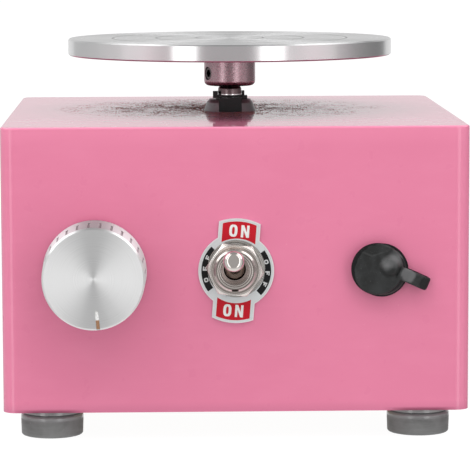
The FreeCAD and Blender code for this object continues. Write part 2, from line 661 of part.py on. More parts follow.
def make_spindle_head():
    """Washer, collar, hub with its grub screw, and the turntable disc."""
    bore = d.shaft_radius
    seat = deck_top + d.bush_body + d.washer_gap
    washer = Piece("thrust_washer", z=seat)
    washer.pad([circle(d.washer_radius), circle(bore)], ZERO, d.washer_thickness)

    collar = Piece("shaft_collar", z=seat + d.washer_thickness)
    collar.pad([circle(d.collar_radius), circle(bore)], ZERO, d.collar_height)
    collar.fillet(d.collar_rounding, rim(d.collar_radius, d.collar_height))

    height = d.disc_bottom - d.hub_bottom
    turned = Rotation(Vector(0, 0, 1), d.hub_turn.number)
    hub = Piece("turntable_hub", z=deck_top + d.hub_bottom, rotation=turned)
    hub.pad([circle(d.hub_radius), circle(bore)], ZERO, height)
    hub.pad([circle(d.spigot_radius), circle(bore)], height, d.spigot - d.hole_gap)
    hub.fillet(d.hub_rounding, rim(d.hub_radius, 0))
    thread = circle(d.hub_screw_radius + d.thread_gap, 0, d.hub_screw_height)
    hub.pocket([thread], d.hub_radius, d.hub_radius, plane="YZ_Plane")

    reach = d.hub_radius - d.screw_recess - d.hub_screw_length
    x, y = on_ring(reach, d.hub_turn.number)
    outward = Vector(*on_ring(1.0, d.hub_turn.number), 0)
    height = deck_top + d.hub_bottom + d.hub_screw_height
    screw = Piece("hub_grub_screw", x, y, height, Rotation(Vector(0, 0, 1), outward))
    screw.pad([circle(d.hub_screw_radius)], ZERO, d.hub_screw_length)
    screw.pocket([hexagon(d.hex_socket * 2)], d.hub_screw_length, d.hex_depth)
    screw.chamfer(d.hub_screw_chamfer, rim(d.hub_screw_radius, d.hub_screw_length))

    disc = Piece("turntable_disc", z=deck_top + d.disc_bottom)
    disc.pad([circle(d.disc_radius)], ZERO, d.disc_thickness)
    disc.chamfer(d.disc_chamfer, rim(d.disc_radius, d.disc_thickness))
    disc.chamfer(d.disc_chamfer, rim(d.disc_radius, 0))
    disc.pocket([circle(d.spigot_radius + d.press_gap)], d.spigot, d.spigot)
    for radius in (d.groove_inner, d.groove_middle, d.groove_outer):
        disc.groove(
            (radius - d.groove_width / 2, d.disc_thickness),
            (radius, d.disc_thickness - d.groove_depth),
            (radius + d.groove_width / 2, d.disc_thickness),
        )


def front_piece(name, x, rotation=FACING_FRONT, z=ZERO, rise=ZERO):
    """A piece of a front control, with local z out of the panel."""
    return Piece(name, x, -half_box - as_dim(z), d.controls_height + rise, rotation)


def make_speed_control():
    """Potentiometer behind the front wall, and the knob on its shaft."""
    inside = -d.wall
    rear = inside - d.pot_depth
    hole = d.pot_shaft_radius + d.running_clearance
    body = front_piece("pot_body", d.knob_x)
    body.pad([circle(d.pot_radius)], rear, d.pot_depth)
    hollow = d.pot_depth - d.pot_front - d.pot_wall
    chamber = inside - d.pot_front
    body.groove(
        (0, chamber - hollow), (d.pot_radius - d.pot_wall, chamber - hollow),
        (d.pot_radius - d.pot_wall, chamber), (hole, chamber), (hole, inside), (0, inside),
    )

    bushing = front_piece("pot_bushing", d.knob_x)
    bushing.pad([circle(d.pot_bushing_radius), circle(hole)], inside, d.wall + d.pot_bushing)

    nut = front_piece("pot_nut", d.knob_x)
    tapped = circle(d.pot_bushing_radius + d.thread_gap)
    nut.pad([hexagon(d.pot_nut_flats), tapped], d.thread_gap, d.pot_nut)

    lugs = front_piece("pot_terminals", d.knob_x)
    depth = d.wafer_top + d.wafer_drop / 2
    wafer = rectangle(d.wafer_width, d.wafer_drop, 0, -depth)
    lugs.pad([wafer], rear + d.wafer_level, d.wafer_thickness)
    drop = d.wafer_drop + d.lug_drop
    legs = [
        rectangle(d.lug_width, drop, d.lug_pitch * k, -d.wafer_top - drop / 2) for k in (-1, 0, 1)
    ]
    lugs.pad(legs, rear + d.lug_level, d.lug_thickness)

    turned = spun(FACING_FRONT, d.knob_turn)
    shaft = front_piece("pot_shaft", d.knob_x, turned)
    inner_end = chamber - hollow + d.wiper_gap
    shaft.pad([circle(d.pot_shaft_radius)], inner_end, d.pot_shaft_end - inner_end)
    shaft.chamfer(d.pot_shaft_chamfer, rim(d.pot_shaft_radius, d.pot_shaft_end))

    wiper = front_piece("pot_wiper", d.knob_x, turned)
    wiper.pad([circle(d.wiper_radius), circle(d.pot_shaft_radius)], inner_end, d.wiper_thickness)
    notch = rectangle(d.wiper_radius, d.wiper_radius * 2.1, d.wiper_radius * 1.1, 0)
    wiper.pocket([notch], inner_end + d.wiper_thickness, d.wiper_thickness)

    face = d.knob_face
    web_top = face - d.knob_front
    knob = front_piece("speed_knob", d.knob_x, turned)
    knob.revolve(
        (0, web_top),
        (d.knob_front_radius - d.knob_shell, web_top),
        (d.knob_base_radius - d.knob_shell, d.knob_gap),
        (d.knob_base_radius, d.knob_gap),
        (d.knob_front_radius, face),
        (0, face),
    )
    knob.chamfer(d.knob_chamfer, rim(d.knob_front_radius, face))
    centre = d.knob_base_radius + d.flute_radius - d.flute_depth
    flute_top = face - d.knob_chamfer * 2.4
    knob.pocket([circle(d.flute_radius, centre, 0)], flute_top, d.flute_length)
    knob.repeat(d.flute_count)
    pointer_length = d.knob_base_radius - d.slot_inner
    pointer = rectangle(d.pointer_width, pointer_length, 0, -d.slot_inner - pointer_length / 2)
    knob.pocket([pointer], face, d.pointer_depth)

    core = front_piece("knob_insert", d.knob_x, turned)
    web_radius = d.knob_front_radius - d.knob_shell - d.slip_gap
    core.pad([circle(web_radius)], web_top - d.insert_web, d.insert_web - d.slip_gap)
    core.pad([circle(d.insert_boss)], d.insert_recess, web_top - d.insert_recess - d.insert_web)
    core.pocket([circle(d.pot_shaft_radius)], d.pot_shaft_end, d.pot_shaft_end)


def make_controller():
    """Speed controller soldered under the potentiometer, carried by its terminals."""
    top = d.board_top
    board = Piece("controller_board", d.board_x, d.board_y, top - d.board_thickness)
    board.pad([rectangle(d.board_width, d.board_length)], ZERO, d.board_thickness)
    lug_y = -half_box + d.wall + d.pot_depth - d.lug_hole_inset - d.board_y
    lug_x = d.knob_x - d.board_x
    holes = [circle(d.lug_hole_radius, lug_x + d.lug_pitch * k, lug_y) for k in (-1, 0, 1)]
    board.pocket(holes, d.board_thickness, d.board_thickness)

    block = Piece("terminal_block", d.block_x, d.block_y, top)
    block.pad([rectangle(d.block_depth, d.block_length)], ZERO, d.block_height)
    pitch = d.block_length / d.block_ways
    rows = [pitch * (k - 1.5) for k in range(int(d.block_ways.number))]
    entries = [circle(d.entry_radius, y, d.block_height / 2) for y in rows]
    block.pocket(entries, d.block_depth / 2, d.entry_depth, plane="YZ_Plane")
    screws = [circle(d.clamp_radius, 0, y) for y in rows]
    block.pocket(screws, d.block_height, d.clamp_depth)

    capacitor = Piece("board_capacitor", d.capacitor_x, d.capacitor_y, top)
    capacitor.pad([circle(d.capacitor_radius)], ZERO, d.capacitor_height)
    capacitor.fillet(d.capacitor_rounding, rim(d.capacitor_radius, d.capacitor_height))

    transistor = Piece("board_transistor", d.transistor_x, d.transistor_y, top)
    legs = [rectangle(d.leg_width, d.leg_thickness, d.leg_pitch * k, 0) for k in (-1, 0, 1)]
    transistor.pad(legs, ZERO, d.transistor_legs + d.leg_overlap)
    case = rectangle(d.transistor_width, d.transistor_depth)
    transistor.pad([case], d.transistor_legs, d.transistor_height)
    back = (d.transistor_depth - d.transistor_tab_depth) / 2
    tab = rectangle(d.transistor_width, d.transistor_tab_depth, 0, back)
    transistor.pad([tab], d.transistor_legs + d.transistor_height, d.transistor_tab)
    fixing_height = d.transistor_legs + d.transistor_height + d.tab_hole_height
    fixing = circle(d.tab_hole_radius, 0, fixing_height)
    transistor.pocket([fixing], ZERO, d.transistor_depth * 2, plane="XZ_Plane", midplane=True)


def make_label_plate():
    """Label plate of the switch: a disc with a tab above and below, cut from flat stock."""
    def primitive(kind, name, **sizes):
        shape = document.addObject("Part::" + kind, "plate_" + name)
        for key, size in sizes.items():
            shape.setExpression(key, size.text)
        return shape

    thick = d.plate_thickness
    disc = primitive("Cylinder", "disc", Radius=d.plate_radius, Height=thick)
    reach = primitive("Cylinder", "reach", Radius=d.plate_reach, Height=thick)
    strip = primitive("Box", "strip", Length=d.plate_tab, Width=d.plate_reach * 2, Height=thick)
    strip.setExpression(".Placement.Base.x", (-(d.plate_tab / 2)).text)
    strip.setExpression(".Placement.Base.y", (-d.plate_reach).text)
    hole = primitive("Cylinder", "hole", Radius=d.plate_hole, Height=thick)
    tabs = document.addObject("Part::Common", "plate_tabs")
    tabs.Base = reach
    tabs.Tool = strip
    whole = document.addObject("Part::Fuse", "plate_whole")
    whole.Base = disc
    whole.Tool = tabs
    plate = document.addObject("Part::Cut", "switch_label_plate")
    plate.Base = whole
    plate.Tool = hole
    plate.Label = "switch_label_plate"
    turned = spun(FACING_FRONT, d.plate_turn)
    plate.Placement = Placement(Vector(0, -half_box.number, d.controls_height.number), turned)
    plate.setExpression(".Placement.Base.y", (-half_box).text)
    plate.setExpression(".Placement.Base.z", d.controls_height.text)
    document.recompute()
    Piece.made.append(plate)


def shape_nut(nut, flats, level, height, hole):
    """Give a piece the shape of a hexagon nut with bevelled corners on its outer face."""
    top = level + height
    nut.pad([hexagon(flats), circle(hole)], level, height)
    nut.groove(
        (flats / 2 + d.slip_gap, top),
        (flats * 0.65, top),
        (flats * 0.65, top - d.nut_bevel * 1.6),
    )


def switch_piece(name, rotation=FACING_FRONT, z=ZERO):
    """A piece of the switch, which sits a little off the centre of its label plate."""
    return front_piece(name, d.switch_x, rotation, z, d.switch_rise)


def make_switch():
    """Three-position toggle switch: on above, off in the middle, on below."""
    inside = -d.wall
    make_label_plate()
    bottom = d.switch_top - d.switch_frame
    bushing = switch_piece("switch_bushing")
    bushing.revolve(
        (d.throat_radius, bottom),
        (d.thread_radius, bottom),
        (d.thread_radius, d.thread_end),
        (d.mouth_radius, d.thread_end),
        (d.mouth_radius, d.mouth_floor),
        (d.seat_radius, d.mouth_floor),
        (d.seat_radius, d.seat_floor),
        (d.throat_radius, d.seat_floor),
    )
    bushing.chamfer(d.bushing_chamfer, rim(d.thread_radius, d.thread_end))
    frame_hole = circle(d.thread_radius - d.frame_inset)
    frame = [rectangle(d.switch_width, d.switch_length), frame_hole]
    bushing.pad(frame, bottom, d.switch_frame)
    keyway = rectangle(d.keyway_width, d.keyway_depth * 2, 0, -d.thread_radius)
    bushing.pocket([keyway], d.thread_end, d.thread_end - inside)

    lock = front_piece("switch_lock_washer", ZERO, rise=d.switch_rise)
    washer = [circle(d.washer_outer), circle(d.washer_hole)]
    lock.pad(washer, d.plate_thickness, d.lock_washer)
    nut_level = d.plate_thickness + d.lock_washer
    tapped = d.thread_radius + d.thread_gap
    front_nut = switch_piece("switch_front_nut", spun(FACING_FRONT, d.nut_turn))
    shape_nut(front_nut, d.nut_flats, nut_level, d.nut_height, tapped)
    rear_nut = switch_piece("switch_rear_nut")
    shape_nut(rear_nut, d.nut_flats, inside - d.rear_nut, d.rear_nut, tapped)

    body = switch_piece("switch_body")
    body_end = bottom - d.switch_depth
    body.pad([rectangle(d.switch_width, d.switch_length)], body_end, d.switch_depth)
    inner_width = d.switch_width - d.switch_wall * 2
    inner_length = d.switch_length - d.switch_wall * 2
    body.pocket([rectangle(inner_width, inner_length)], bottom, d.switch_depth - d.switch_floor)

    lugs = switch_piece("switch_terminals")
    places = [(d.lug_columns * sx, d.lug_rows * row) for sx in SIDES for row in (-1, 0, 1)]
    tabs = [rectangle(d.tab_thickness, d.switch_lug_width, x, y) for x, y in places]
    lugs.pad(tabs, body_end - d.switch_lug, d.switch_lug)

    raised = FACING_FRONT.multiply(Rotation(Vector(1, 0, 0), -d.lever_throw.number))
    raised = raised.multiply(Rotation(Vector(0, 1, 0), -d.lever_lean.number))
    lever = switch_piece("switch_lever", raised, d.pivot_depth)
    lever.revolve(
        (0, -d.lever_tail),
        (d.tail_radius, -d.lever_tail),
        (d.tail_radius, -d.ball_radius * 0.88),
        (d.ball_radius * 0.8, -d.ball_radius * 0.6),
        (d.ball_radius, -d.ball_radius * 0.2),
        (d.ball_radius * 0.96, d.ball_radius * 0.28),
        (d.lever_neck, d.ball_radius * 0.78),
        (d.lever_neck, d.lever_length * 0.42),
        (d.lever_tip_radius, d.lever_length * 0.8),
        (d.lever_tip_radius, d.lever_length),
        (0, d.lever_length),
    )
    lever.fillet(d.lever_rounding, rim(d.lever_tip_radius, d.lever_length))

    plunger = switch_piece("switch_plunger", raised, d.pivot_depth)
    travel = d.plunger_reach - d.lever_tail
    plunger.pad([circle(d.plunger_radius)], -d.plunger_reach, travel)
    plunger.fillet(d.plunger_rounding, rim(d.plunger_radius, -d.plunger_reach))

    tilted = FACING_FRONT.multiply(Rotation(Vector(1, 0, 0), d.rocker_tilt.number))
    rocker = switch_piece("contact_rocker", tilted, -d.rocker_depth)
    plate = rectangle(d.rocker_width, d.rocker_half * 2)
    rocker.pad([plate], -d.rocker_thickness / 2, d.rocker_thickness)


def make_inlet():
    """Barrel power inlet with a rubber cap on a folded strap; local x runs along the strap."""
    drooped = spun(FACING_FRONT, d.strap_droop)
    outside = d.ring_thickness
    body = front_piece("jack_body", d.jack_x)
    rear = -d.barrel_length
    face = outside + d.flange_thickness
    body.revolve(
        (0, rear), (d.barrel_radius, rear), (d.barrel_radius, outside),
        (d.flange_radius, outside), (d.flange_radius, face),
        (d.inlet_radius, face), (d.inlet_radius, -d.inlet_depth), (0, -d.inlet_depth),
    )
    body.chamfer(d.flange_chamfer, rim(d.flange_radius, face))
    body.pocket([circle(d.pin_stem_radius)], -d.inlet_depth, d.barrel_length - d.inlet_depth)

    level = -d.wall - d.inlet_nut
    tapped = d.barrel_radius + d.thread_gap
    nut = front_piece("jack_nut", d.jack_x, spun(FACING_FRONT, d.inlet_nut_turn))
    shape_nut(nut, d.nut_flats, level, d.inlet_nut, tapped)

    pin = front_piece("jack_center_pin", d.jack_x)
    pin.pad([circle(d.pin_stem_radius)], rear, d.barrel_length - d.inlet_depth)
    pin.pad([circle(d.pin_radius)], -d.inlet_depth, d.inlet_depth + d.pin_tip)
    pin.fillet(d.pin_rounding, rim(d.pin_radius, d.pin_tip))

    contacts = front_piece("jack_contacts", d.jack_x)
    leaf_y = d.inlet_radius - d.spring_thickness - d.spring_gap
    leaf = rectangle(d.spring_width, d.spring_thickness, 0, leaf_y)
    contacts.pad([leaf], -d.inlet_depth, d.spring_length)
    width, drop = d.inlet_lug_width, d.inlet_lug_drop
    lugs = [rectangle(width, drop, d.inlet_lug_x * sx, -(drop / 2)) for sx in SIDES]
    contacts.pad(lugs, rear - d.tab_thickness, d.tab_thickness)

    upper = d.fold_height + d.fold_inner
    fold_outer = d.fold_inner + d.strap_thickness
    tether = front_piece("cap_tether", d.jack_x, drooped)
    across = dict(level=-d.strap_side, plane="XZ_Plane", midplane=True)
    through = d.strap_width * 1.1
    tether.pad([circle(fold_outer, d.fold_x, d.fold_height)], length=d.strap_width, **across)
    tether.pocket([circle(d.fold_inner, d.fold_x, d.fold_height)], depth=through, **across)
    half = rectangle(fold_outer * 2, fold_outer * 2.2, d.fold_x - fold_outer, d.fold_height)
    tether.pocket([half], depth=through, **across)
    low = d.fold_height - fold_outer
    tether.pad([circle(d.ring_radius), circle(d.barrel_radius + d.slip_gap)], ZERO, outside)
    start = d.ring_radius - d.ring_overlap
    run = d.fold_x - start
    lower = rectangle(run, d.strap_width, start + run / 2, d.strap_side)
    tether.pad([lower], low, d.strap_thickness)

    cap = front_piece("dust_cap", d.jack_x, drooped)
    cap.pad([circle(d.lid_radius, d.lid_shift, 0)], upper, d.strap_thickness)
    strap = rectangle(d.fold_x, d.strap_width, d.fold_x / 2, d.strap_side)
    cap.pad([strap], upper, d.strap_thickness)
    cap.pad([circle(d.plug_radius)], d.plug_end, upper - d.plug_end)
    dome_base = upper + d.strap_thickness
    cap.pad([circle(d.dome_radius, d.dome_x, d.dome_y)], dome_base, d.dome_rise)
    cap.fillet(d.cap_rounding, rim(d.dome_radius, dome_base + d.dome_rise))


def lead(points):
    """A wire along straight runs joined by tangent arcs as large as the runs allow."""
    radius = d.lead_radius.number
    corners = [Vector(*point) for point in points]
    edges = []
    start = corners[0]
    for before, corner, after in zip(corners, corners[1:], corners[2:]):
        arrive = (corner - before).normalize()
        leave = (after - corner).normalize()
        turn = arrive.getAngle(leave)
        cut = 0.45 * min((corner - before).Length, (after - corner).Length)
        bend = cut / math.tan(turn / 2)
        towards = (leave - arrive).normalize()
        apex = corner + towards * (bend / math.cos(turn / 2) - bend)
        first = corner - arrive * cut
        last = corner + leave * cut
        edges.append(Part.LineSegment(start, first).toShape())
        edges.append(Part.Arc(first, apex, last).toShape())
        start = last
    edges.append(Part.LineSegment(start, corners[-1]).toShape())
    path = Part.Wire(edges)
    ring = Part.Wire(Part.Circle(corners[0], corners[1] - corners[0], radius).toShape())
    solid = path.makePipeShell([ring], True, False)
    expected = math.pi * radius ** 2 * path.Length
    if abs(solid.Volume - expected) > 0.01 * expected:
        raise RuntimeError("a lead's volume is %.1f, not %.1f" % (solid.Volume, expected))
    return solid


def make_leads():
    """Supply, output and motor leads; each list is a route from one terminal to the next."""
    block = (d.block_x + d.block_depth / 2).number - 2.5
    entry = (d.board_top + d.block_height / 2).number
    rows = [d.block_y.number + d.block_length.number / 4 * (k - 1.5) for k in range(4)]
    lug_y = -half_box.number + d.barrel_length.number + d.tab_thickness.number + 1.0
    lug_z = d.controls_height.number - d.inlet_lug_drop.number
    right_lug = d.jack_x.number + d.inlet_lug_x.number
    left_lug = d.jack_x.number - d.inlet_lug_x.number
    switch_y = -32.4
    lug_side = d.lug_columns.number + d.tab_thickness.number / 2 + 0.5
    left_column = d.switch_x.number - lug_side
    right_column = d.switch_x.number + lug_side
    middle = (d.controls_height + d.switch_rise).number
    row_gap = d.lug_rows.number
    tab_x = d.tab_x.number + d.tab_thickness.number / 2 + 0.6
    tab_z = motor_rear.number - 5.5
    red = [
        [(right_lug, lug_y, lug_z + 2), (right_lug, lug_y + 0.5, 31), (36, -42, 24), (16, -41, 21),
         (-4, -43, 23), (-14, -46, 31), (-17, rows[1], 39), (block, rows[1], entry)],
        [(block, rows[2], entry), (-17, rows[2], 41.5), (-14, -38, 49), (-12.5, -34, 55.5),
         (left_column, switch_y, middle + row_gap)],
        [(right_column, switch_y, middle), (15, -32.5, 46.5), (23, -29, 36), (26, -21, 24),
         (24, -9, 16.5), (tab_x, 0, tab_z)],
    ]
    black = [
        [(left_lug, lug_y, lug_z + 2), (left_lug, lug_y + 0.3, 31), (31, -47.5, 25), (12, -50, 24),
         (-6, -51, 26), (-15, -52.3, 32), (-17.5, rows[0], 39), (block, rows[0], entry)],
        [(block, rows[3], entry), (-18, rows[3], 39.4), (-12.5, -34, 38.2),
         (left_column, switch_y, middle - row_gap)],
        [(left_column, switch_y, middle), (-14, -31, 47), (-20, -26.5, 37), (-25.5, -20, 24),
         (-24, -9, 16.5), (-tab_x, 0, tab_z)],
    ]
    for name, routes in (("wires_red", red), ("wires_black", black)):
        wires = document.addObject("Part::Feature", name)
        wires.Label = name
        wires.Shape = Part.Compound([lead(route) for route in routes])
        wires.Placement = Placement()
        Piece.made.append(wires)


def check_and_export():
    document.recompute()
    for item in document.Objects:
        if "Invalid" in item.State or "Error" in item.State:
            raise RuntimeError("%s failed: %s" % (item.Name, item.State))
    os.makedirs("parts", exist_ok=True)
    for piece in Piece.made:
        shape = piece.Shape
        if shape.isNull() or not shape.isValid() or not shape.Solids:
            raise RuntimeError(piece.Label + " has no valid solid")
        shape.exportStep("parts/%s.step" % piece.Label)
        print("%-22s %2d solids %10.1f mm3" % (piece.Label, len(shape.Solids), shape.Volume))


make_housing()
make_base()
make_motor_mount()
make_motor()
make_bearing_housing()
make_spindle_head()
make_speed_control()
make_controller()
make_switch()
make_inlet()
make_leads()
check_and_export()
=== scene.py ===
"""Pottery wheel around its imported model: finishes, printed label, clay dust and a rubber cap.

Metres, +Z up, front panel facing -Y. Sizes given in millimetres are multiplied by MM.
"""
import json
import math
import random

import bmesh
import bpy
from mathutils import Matrix, Vector, noise


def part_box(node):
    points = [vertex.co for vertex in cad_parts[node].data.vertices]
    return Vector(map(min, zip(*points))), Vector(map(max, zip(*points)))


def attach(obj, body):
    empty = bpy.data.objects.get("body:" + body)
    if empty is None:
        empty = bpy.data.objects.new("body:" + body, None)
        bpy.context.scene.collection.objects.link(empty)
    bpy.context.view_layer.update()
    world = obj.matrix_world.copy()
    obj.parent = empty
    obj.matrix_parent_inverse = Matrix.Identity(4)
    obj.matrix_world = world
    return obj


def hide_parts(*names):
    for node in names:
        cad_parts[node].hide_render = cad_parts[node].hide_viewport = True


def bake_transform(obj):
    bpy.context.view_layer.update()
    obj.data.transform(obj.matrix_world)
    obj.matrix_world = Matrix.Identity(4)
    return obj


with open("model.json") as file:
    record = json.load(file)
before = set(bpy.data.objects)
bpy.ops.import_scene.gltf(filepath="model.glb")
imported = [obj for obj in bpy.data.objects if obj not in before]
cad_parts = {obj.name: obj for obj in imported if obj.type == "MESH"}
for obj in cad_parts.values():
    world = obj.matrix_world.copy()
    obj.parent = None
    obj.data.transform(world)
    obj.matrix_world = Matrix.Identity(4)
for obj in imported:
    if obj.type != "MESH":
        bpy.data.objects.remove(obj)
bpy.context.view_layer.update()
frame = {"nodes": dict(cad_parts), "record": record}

MM = 0.001
scene = bpy.context.scene


# ---------------------------------------------------------------- places

low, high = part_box("housing")
PANEL_Y = low.y
DECK_Z = high.z
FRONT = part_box("switch_label_plate")
CONTROL_Z = (FRONT[0].z + FRONT[1].z) / 2
SWITCH_X = (FRONT[0].x + FRONT[1].x) / 2
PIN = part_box("jack_center_pin")
JACK_X = (PIN[0].x + PIN[1].x) / 2
DISC_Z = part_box("turntable_disc")[0].z
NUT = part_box("switch_front_nut")
NUT_X, NUT_Z = (NUT[0].x + NUT[1].x) / 2, (NUT[0].z + NUT[1].z) / 2
NUT_AXIS = (NUT_X, 0, NUT_Z)
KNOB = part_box("pot_shaft")
KNOB_X = (KNOB[0].x + KNOB[1].x) / 2
FOOT_OFFSET = 0.0526  # of each foot from the middle, across and along

# where the surface changes, in metres: the two ends of each pair are those of a soft edge
DISC_GROOVES = (0.0102, 0.0223, 0.0354)
DISC_CHAMFER = (DISC_Z + 0.00045, DISC_Z + 0.0003)
KNOB_SIDE = (0.0164, 0.0162)
FLUTE_REAR, FLUTE_FRONT = (0.0065, 0.0070), (0.0158, 0.0155)
KNOB_FLUTES, FLUTE_TURN = 28, 5.2  # how many, and their turn in degrees

# clay dust on the deck, in millimetres: its middle and its reach, across and along
DUST_X, DUST_Y = -2, 9
DUST_WIDE, DUST_LONG = 50, 44
DUST_GRAINS, DUST_SEED = 7000, 7
SPINDLE_CLEAR = 8.1


class Place:
    """A control's own frame: u right, v up, h out of the panel, turned about its axis."""

    def __init__(self, x, degrees):
        self.x = x
        self.turn = math.radians(degrees)

    def __call__(self, u, v, h):
        """The point in metres of a place in millimetres."""
        c, s = math.cos(self.turn), math.sin(self.turn)
        across = (u * c - v * s) * MM
        up = (u * s + v * c) * MM
        return Vector((self.x + across, PANEL_Y - h * MM, CONTROL_Z + up))


LABEL = Place(SWITCH_X, -4.5)
CAP = Place(JACK_X, -24.2)
POINTER = Place(KNOB_X, 5.2)


# ---------------------------------------------------------------- materials

class Nodes:
    """Shader nodes in one tree, each input linked or set."""

    def __init__(self, tree):
        self.tree = tree

    def add(self, kind, settings=(), inputs=()):
        node = self.tree.nodes.new("ShaderNode" + kind)
        for key, value in dict(settings).items():
            setattr(node, key, value)
        for key, value in dict(inputs).items():
            self.feed(node.inputs[key], value)
        return node

    def feed(self, socket, value):
        if isinstance(value, bpy.types.NodeSocket):
            self.tree.links.new(value, socket)
        else:
            socket.default_value = value

    def math(self, operation, first, second=0.0):
        return self.add("Math", {"operation": operation}, {0: first, 1: second}).outputs[0]

    def times(self, first, second):
        return self.math("MULTIPLY", first, second)

    def fade(self, value, start, end):
        """0 at start and 1 at end, smoothly."""
        return self.add(
            "MapRange", {"interpolation_type": "SMOOTHSTEP"},
            {"Value": value, "From Min": start, "From Max": end},
        ).outputs["Result"]

    def line(self, value, place, outer, inner):
        """1 within the inner distance of a place, 0 past the outer one."""
        off = self.math("ABSOLUTE", self.math("SUBTRACT", value, place))
        return self.fade(off, outer, inner)

    def vector(self, operation, first, second=(0, 0, 0)):
        return self.add("VectorMath", {"operation": operation}, {0: first, 1: second})

    def axes(self, place):
        split = self.add("SeparateXYZ", {}, {0: place})
        return [split.outputs[k] for k in range(3)]


class Finish(Nodes):
    """A procedural material: one Principled shader fed by nodes in object space."""

    def __init__(self, name, sockets):
        self.data = bpy.data.materials.new(name)
        self.data.use_nodes = True
        super().__init__(self.data.node_tree)
        self.shader = self.tree.nodes["Principled BSDF"]
        for socket, value in sockets.items():
            self.shader.inputs[socket].default_value = value
        self.place = self.add("TexCoord").outputs["Object"]
        self.x, self.y, self.z = self.axes(self.place)

    def grain(self, size, detail=3.0, stretch=(1, 1, 1), contrast=None):
        """Noise whose features are about the given size in metres, from 0 to 1."""
        scaled = self.vector("MULTIPLY", self.place, tuple(s / size for s in stretch))
        value = self.add(
            "TexNoise", {}, {"Vector": scaled.outputs[0], "Scale": 1.0, "Detail": detail}
        ).outputs["Fac"]
        return self.fade(value, *contrast) if contrast else value

    def mix(self, factor, first, second):
        node = self.add("Mix", {"data_type": "RGBA"}, {0: factor})
        self.feed(node.inputs[6], first)
        self.feed(node.inputs[7], second)
        return node.outputs[2]

    def over(self, base, colour, mask, strength):
        """A colour laid over another where a mask is 1, at a strength from 0 to 1."""
        return self.mix(self.times(mask, strength), base, colour)

    def bump(self, height, distance, strength=1.0):
        """Relief of a height in metres."""
        relief = self.add(
            "Bump", {}, {"Height": height, "Distance": distance, "Strength": strength}
        )
        self.socket("Normal", relief.outputs["Normal"])

    def socket(self, name, value):
        self.feed(self.shader.inputs[name], value)

    def colour(self, value):
        self.socket("Base Color", value)

    def roughness(self, value, low, high):
        spread = self.add("MapRange", {}, {"Value": value, "To Min": low, "To Max": high})
        self.socket("Roughness", spread.outputs["Result"])


def shade(colour, factor):
    return tuple(min(1.0, c * factor) for c in colour) + (1.0,)


def plain_finish(name, colour, metallic, rough, size, variation, relief, extra=None):
    """Mottled colour, uneven gloss and fine relief at the scale of the real surface."""
    sockets = {"Metallic": metallic}
    sockets.update(extra or {})
    finish = Finish(name, sockets)
    fine = finish.grain(size * MM)
    broad = finish.grain(size * MM * 14, 2.0, contrast=(0.35, 0.65))
    tint = finish.mix(fine, shade(colour, 1 - variation), shade(colour, 1 + variation))
    worn = finish.mix(broad, tint, shade(colour, 1 - variation * 0.5))
    finish.colour(worn)
    finish.roughness(finish.grain(size * MM * 3, 4.0), rough * 0.8, rough * 1.2)
    finish.bump(fine, relief * MM)
    return finish.data


def ringed(finish, axis, centre, size):
    """Noise that only changes with the distance from an axis, as turning leaves it."""
    shifted = finish.vector("SUBTRACT", finish.place, centre).outputs[0]
    flat = finish.vector(
        "MULTIPLY", shifted, tuple(0.0 if a == axis else 1.0 for a in "XYZ")
    ).outputs[0]
    radius = finish.vector("LENGTH", flat).outputs["Value"]
    rings = finish.add(
        "TexNoise", {"noise_dimensions": "1D"},
        {"W": finish.math("DIVIDE", radius, size), "Scale": 1.0, "Detail": 4.0},
    ).outputs["Fac"]
    return radius, rings


def turned_finish(name, axis, centre, colour, brushing):
    """Face-turned aluminium: highlights fan out from the axis, with faint cutting rings."""
    finish = Finish(name, {
        "Metallic": 1.0, "Anisotropic": brushing, "Anisotropic Rotation": 0.25,
    })
    radius, rings = ringed(finish, axis, centre, 0.00035)
    broad = finish.grain(0.006, 3.0, contrast=(0.3, 0.7))
    tint = finish.mix(rings, shade(colour, 0.88), shade(colour, 1.05))
    tint = finish.mix(broad, tint, shade(colour, 0.97))
    finish.bump(rings, 0.000004)
    tangent = finish.add("Tangent", {"direction_type": "RADIAL", "axis": axis})
    finish.socket("Tangent", tangent.outputs[0])
    return finish, radius, rings, tint


def disc_finish():
    """The turntable's face, with painted shade in its grooves and on its lower chamfer."""
    colour, rough = (0.80, 0.80, 0.805), 0.26
    finish, radius, rings, tint = turned_finish("turned_aluminium", "Z", (0, 0, 0), colour, 0.98)
    # painted shade: dark lines along the grooves
    for place in DISC_GROOVES:
        line = finish.line(radius, place, 0.0005, 0.0002)
        tint = finish.over(tint, shade(colour, 0.3), line, 0.7)
    # painted shade on the lower chamfer, tinted as a reflection of the pink deck
    under = finish.fade(finish.z, *DISC_CHAMFER)
    finish.colour(finish.mix(under, tint, (0.26, 0.20, 0.22, 1)))
    finish.roughness(rings, rough * 0.85, rough * 1.15)
    return finish.data


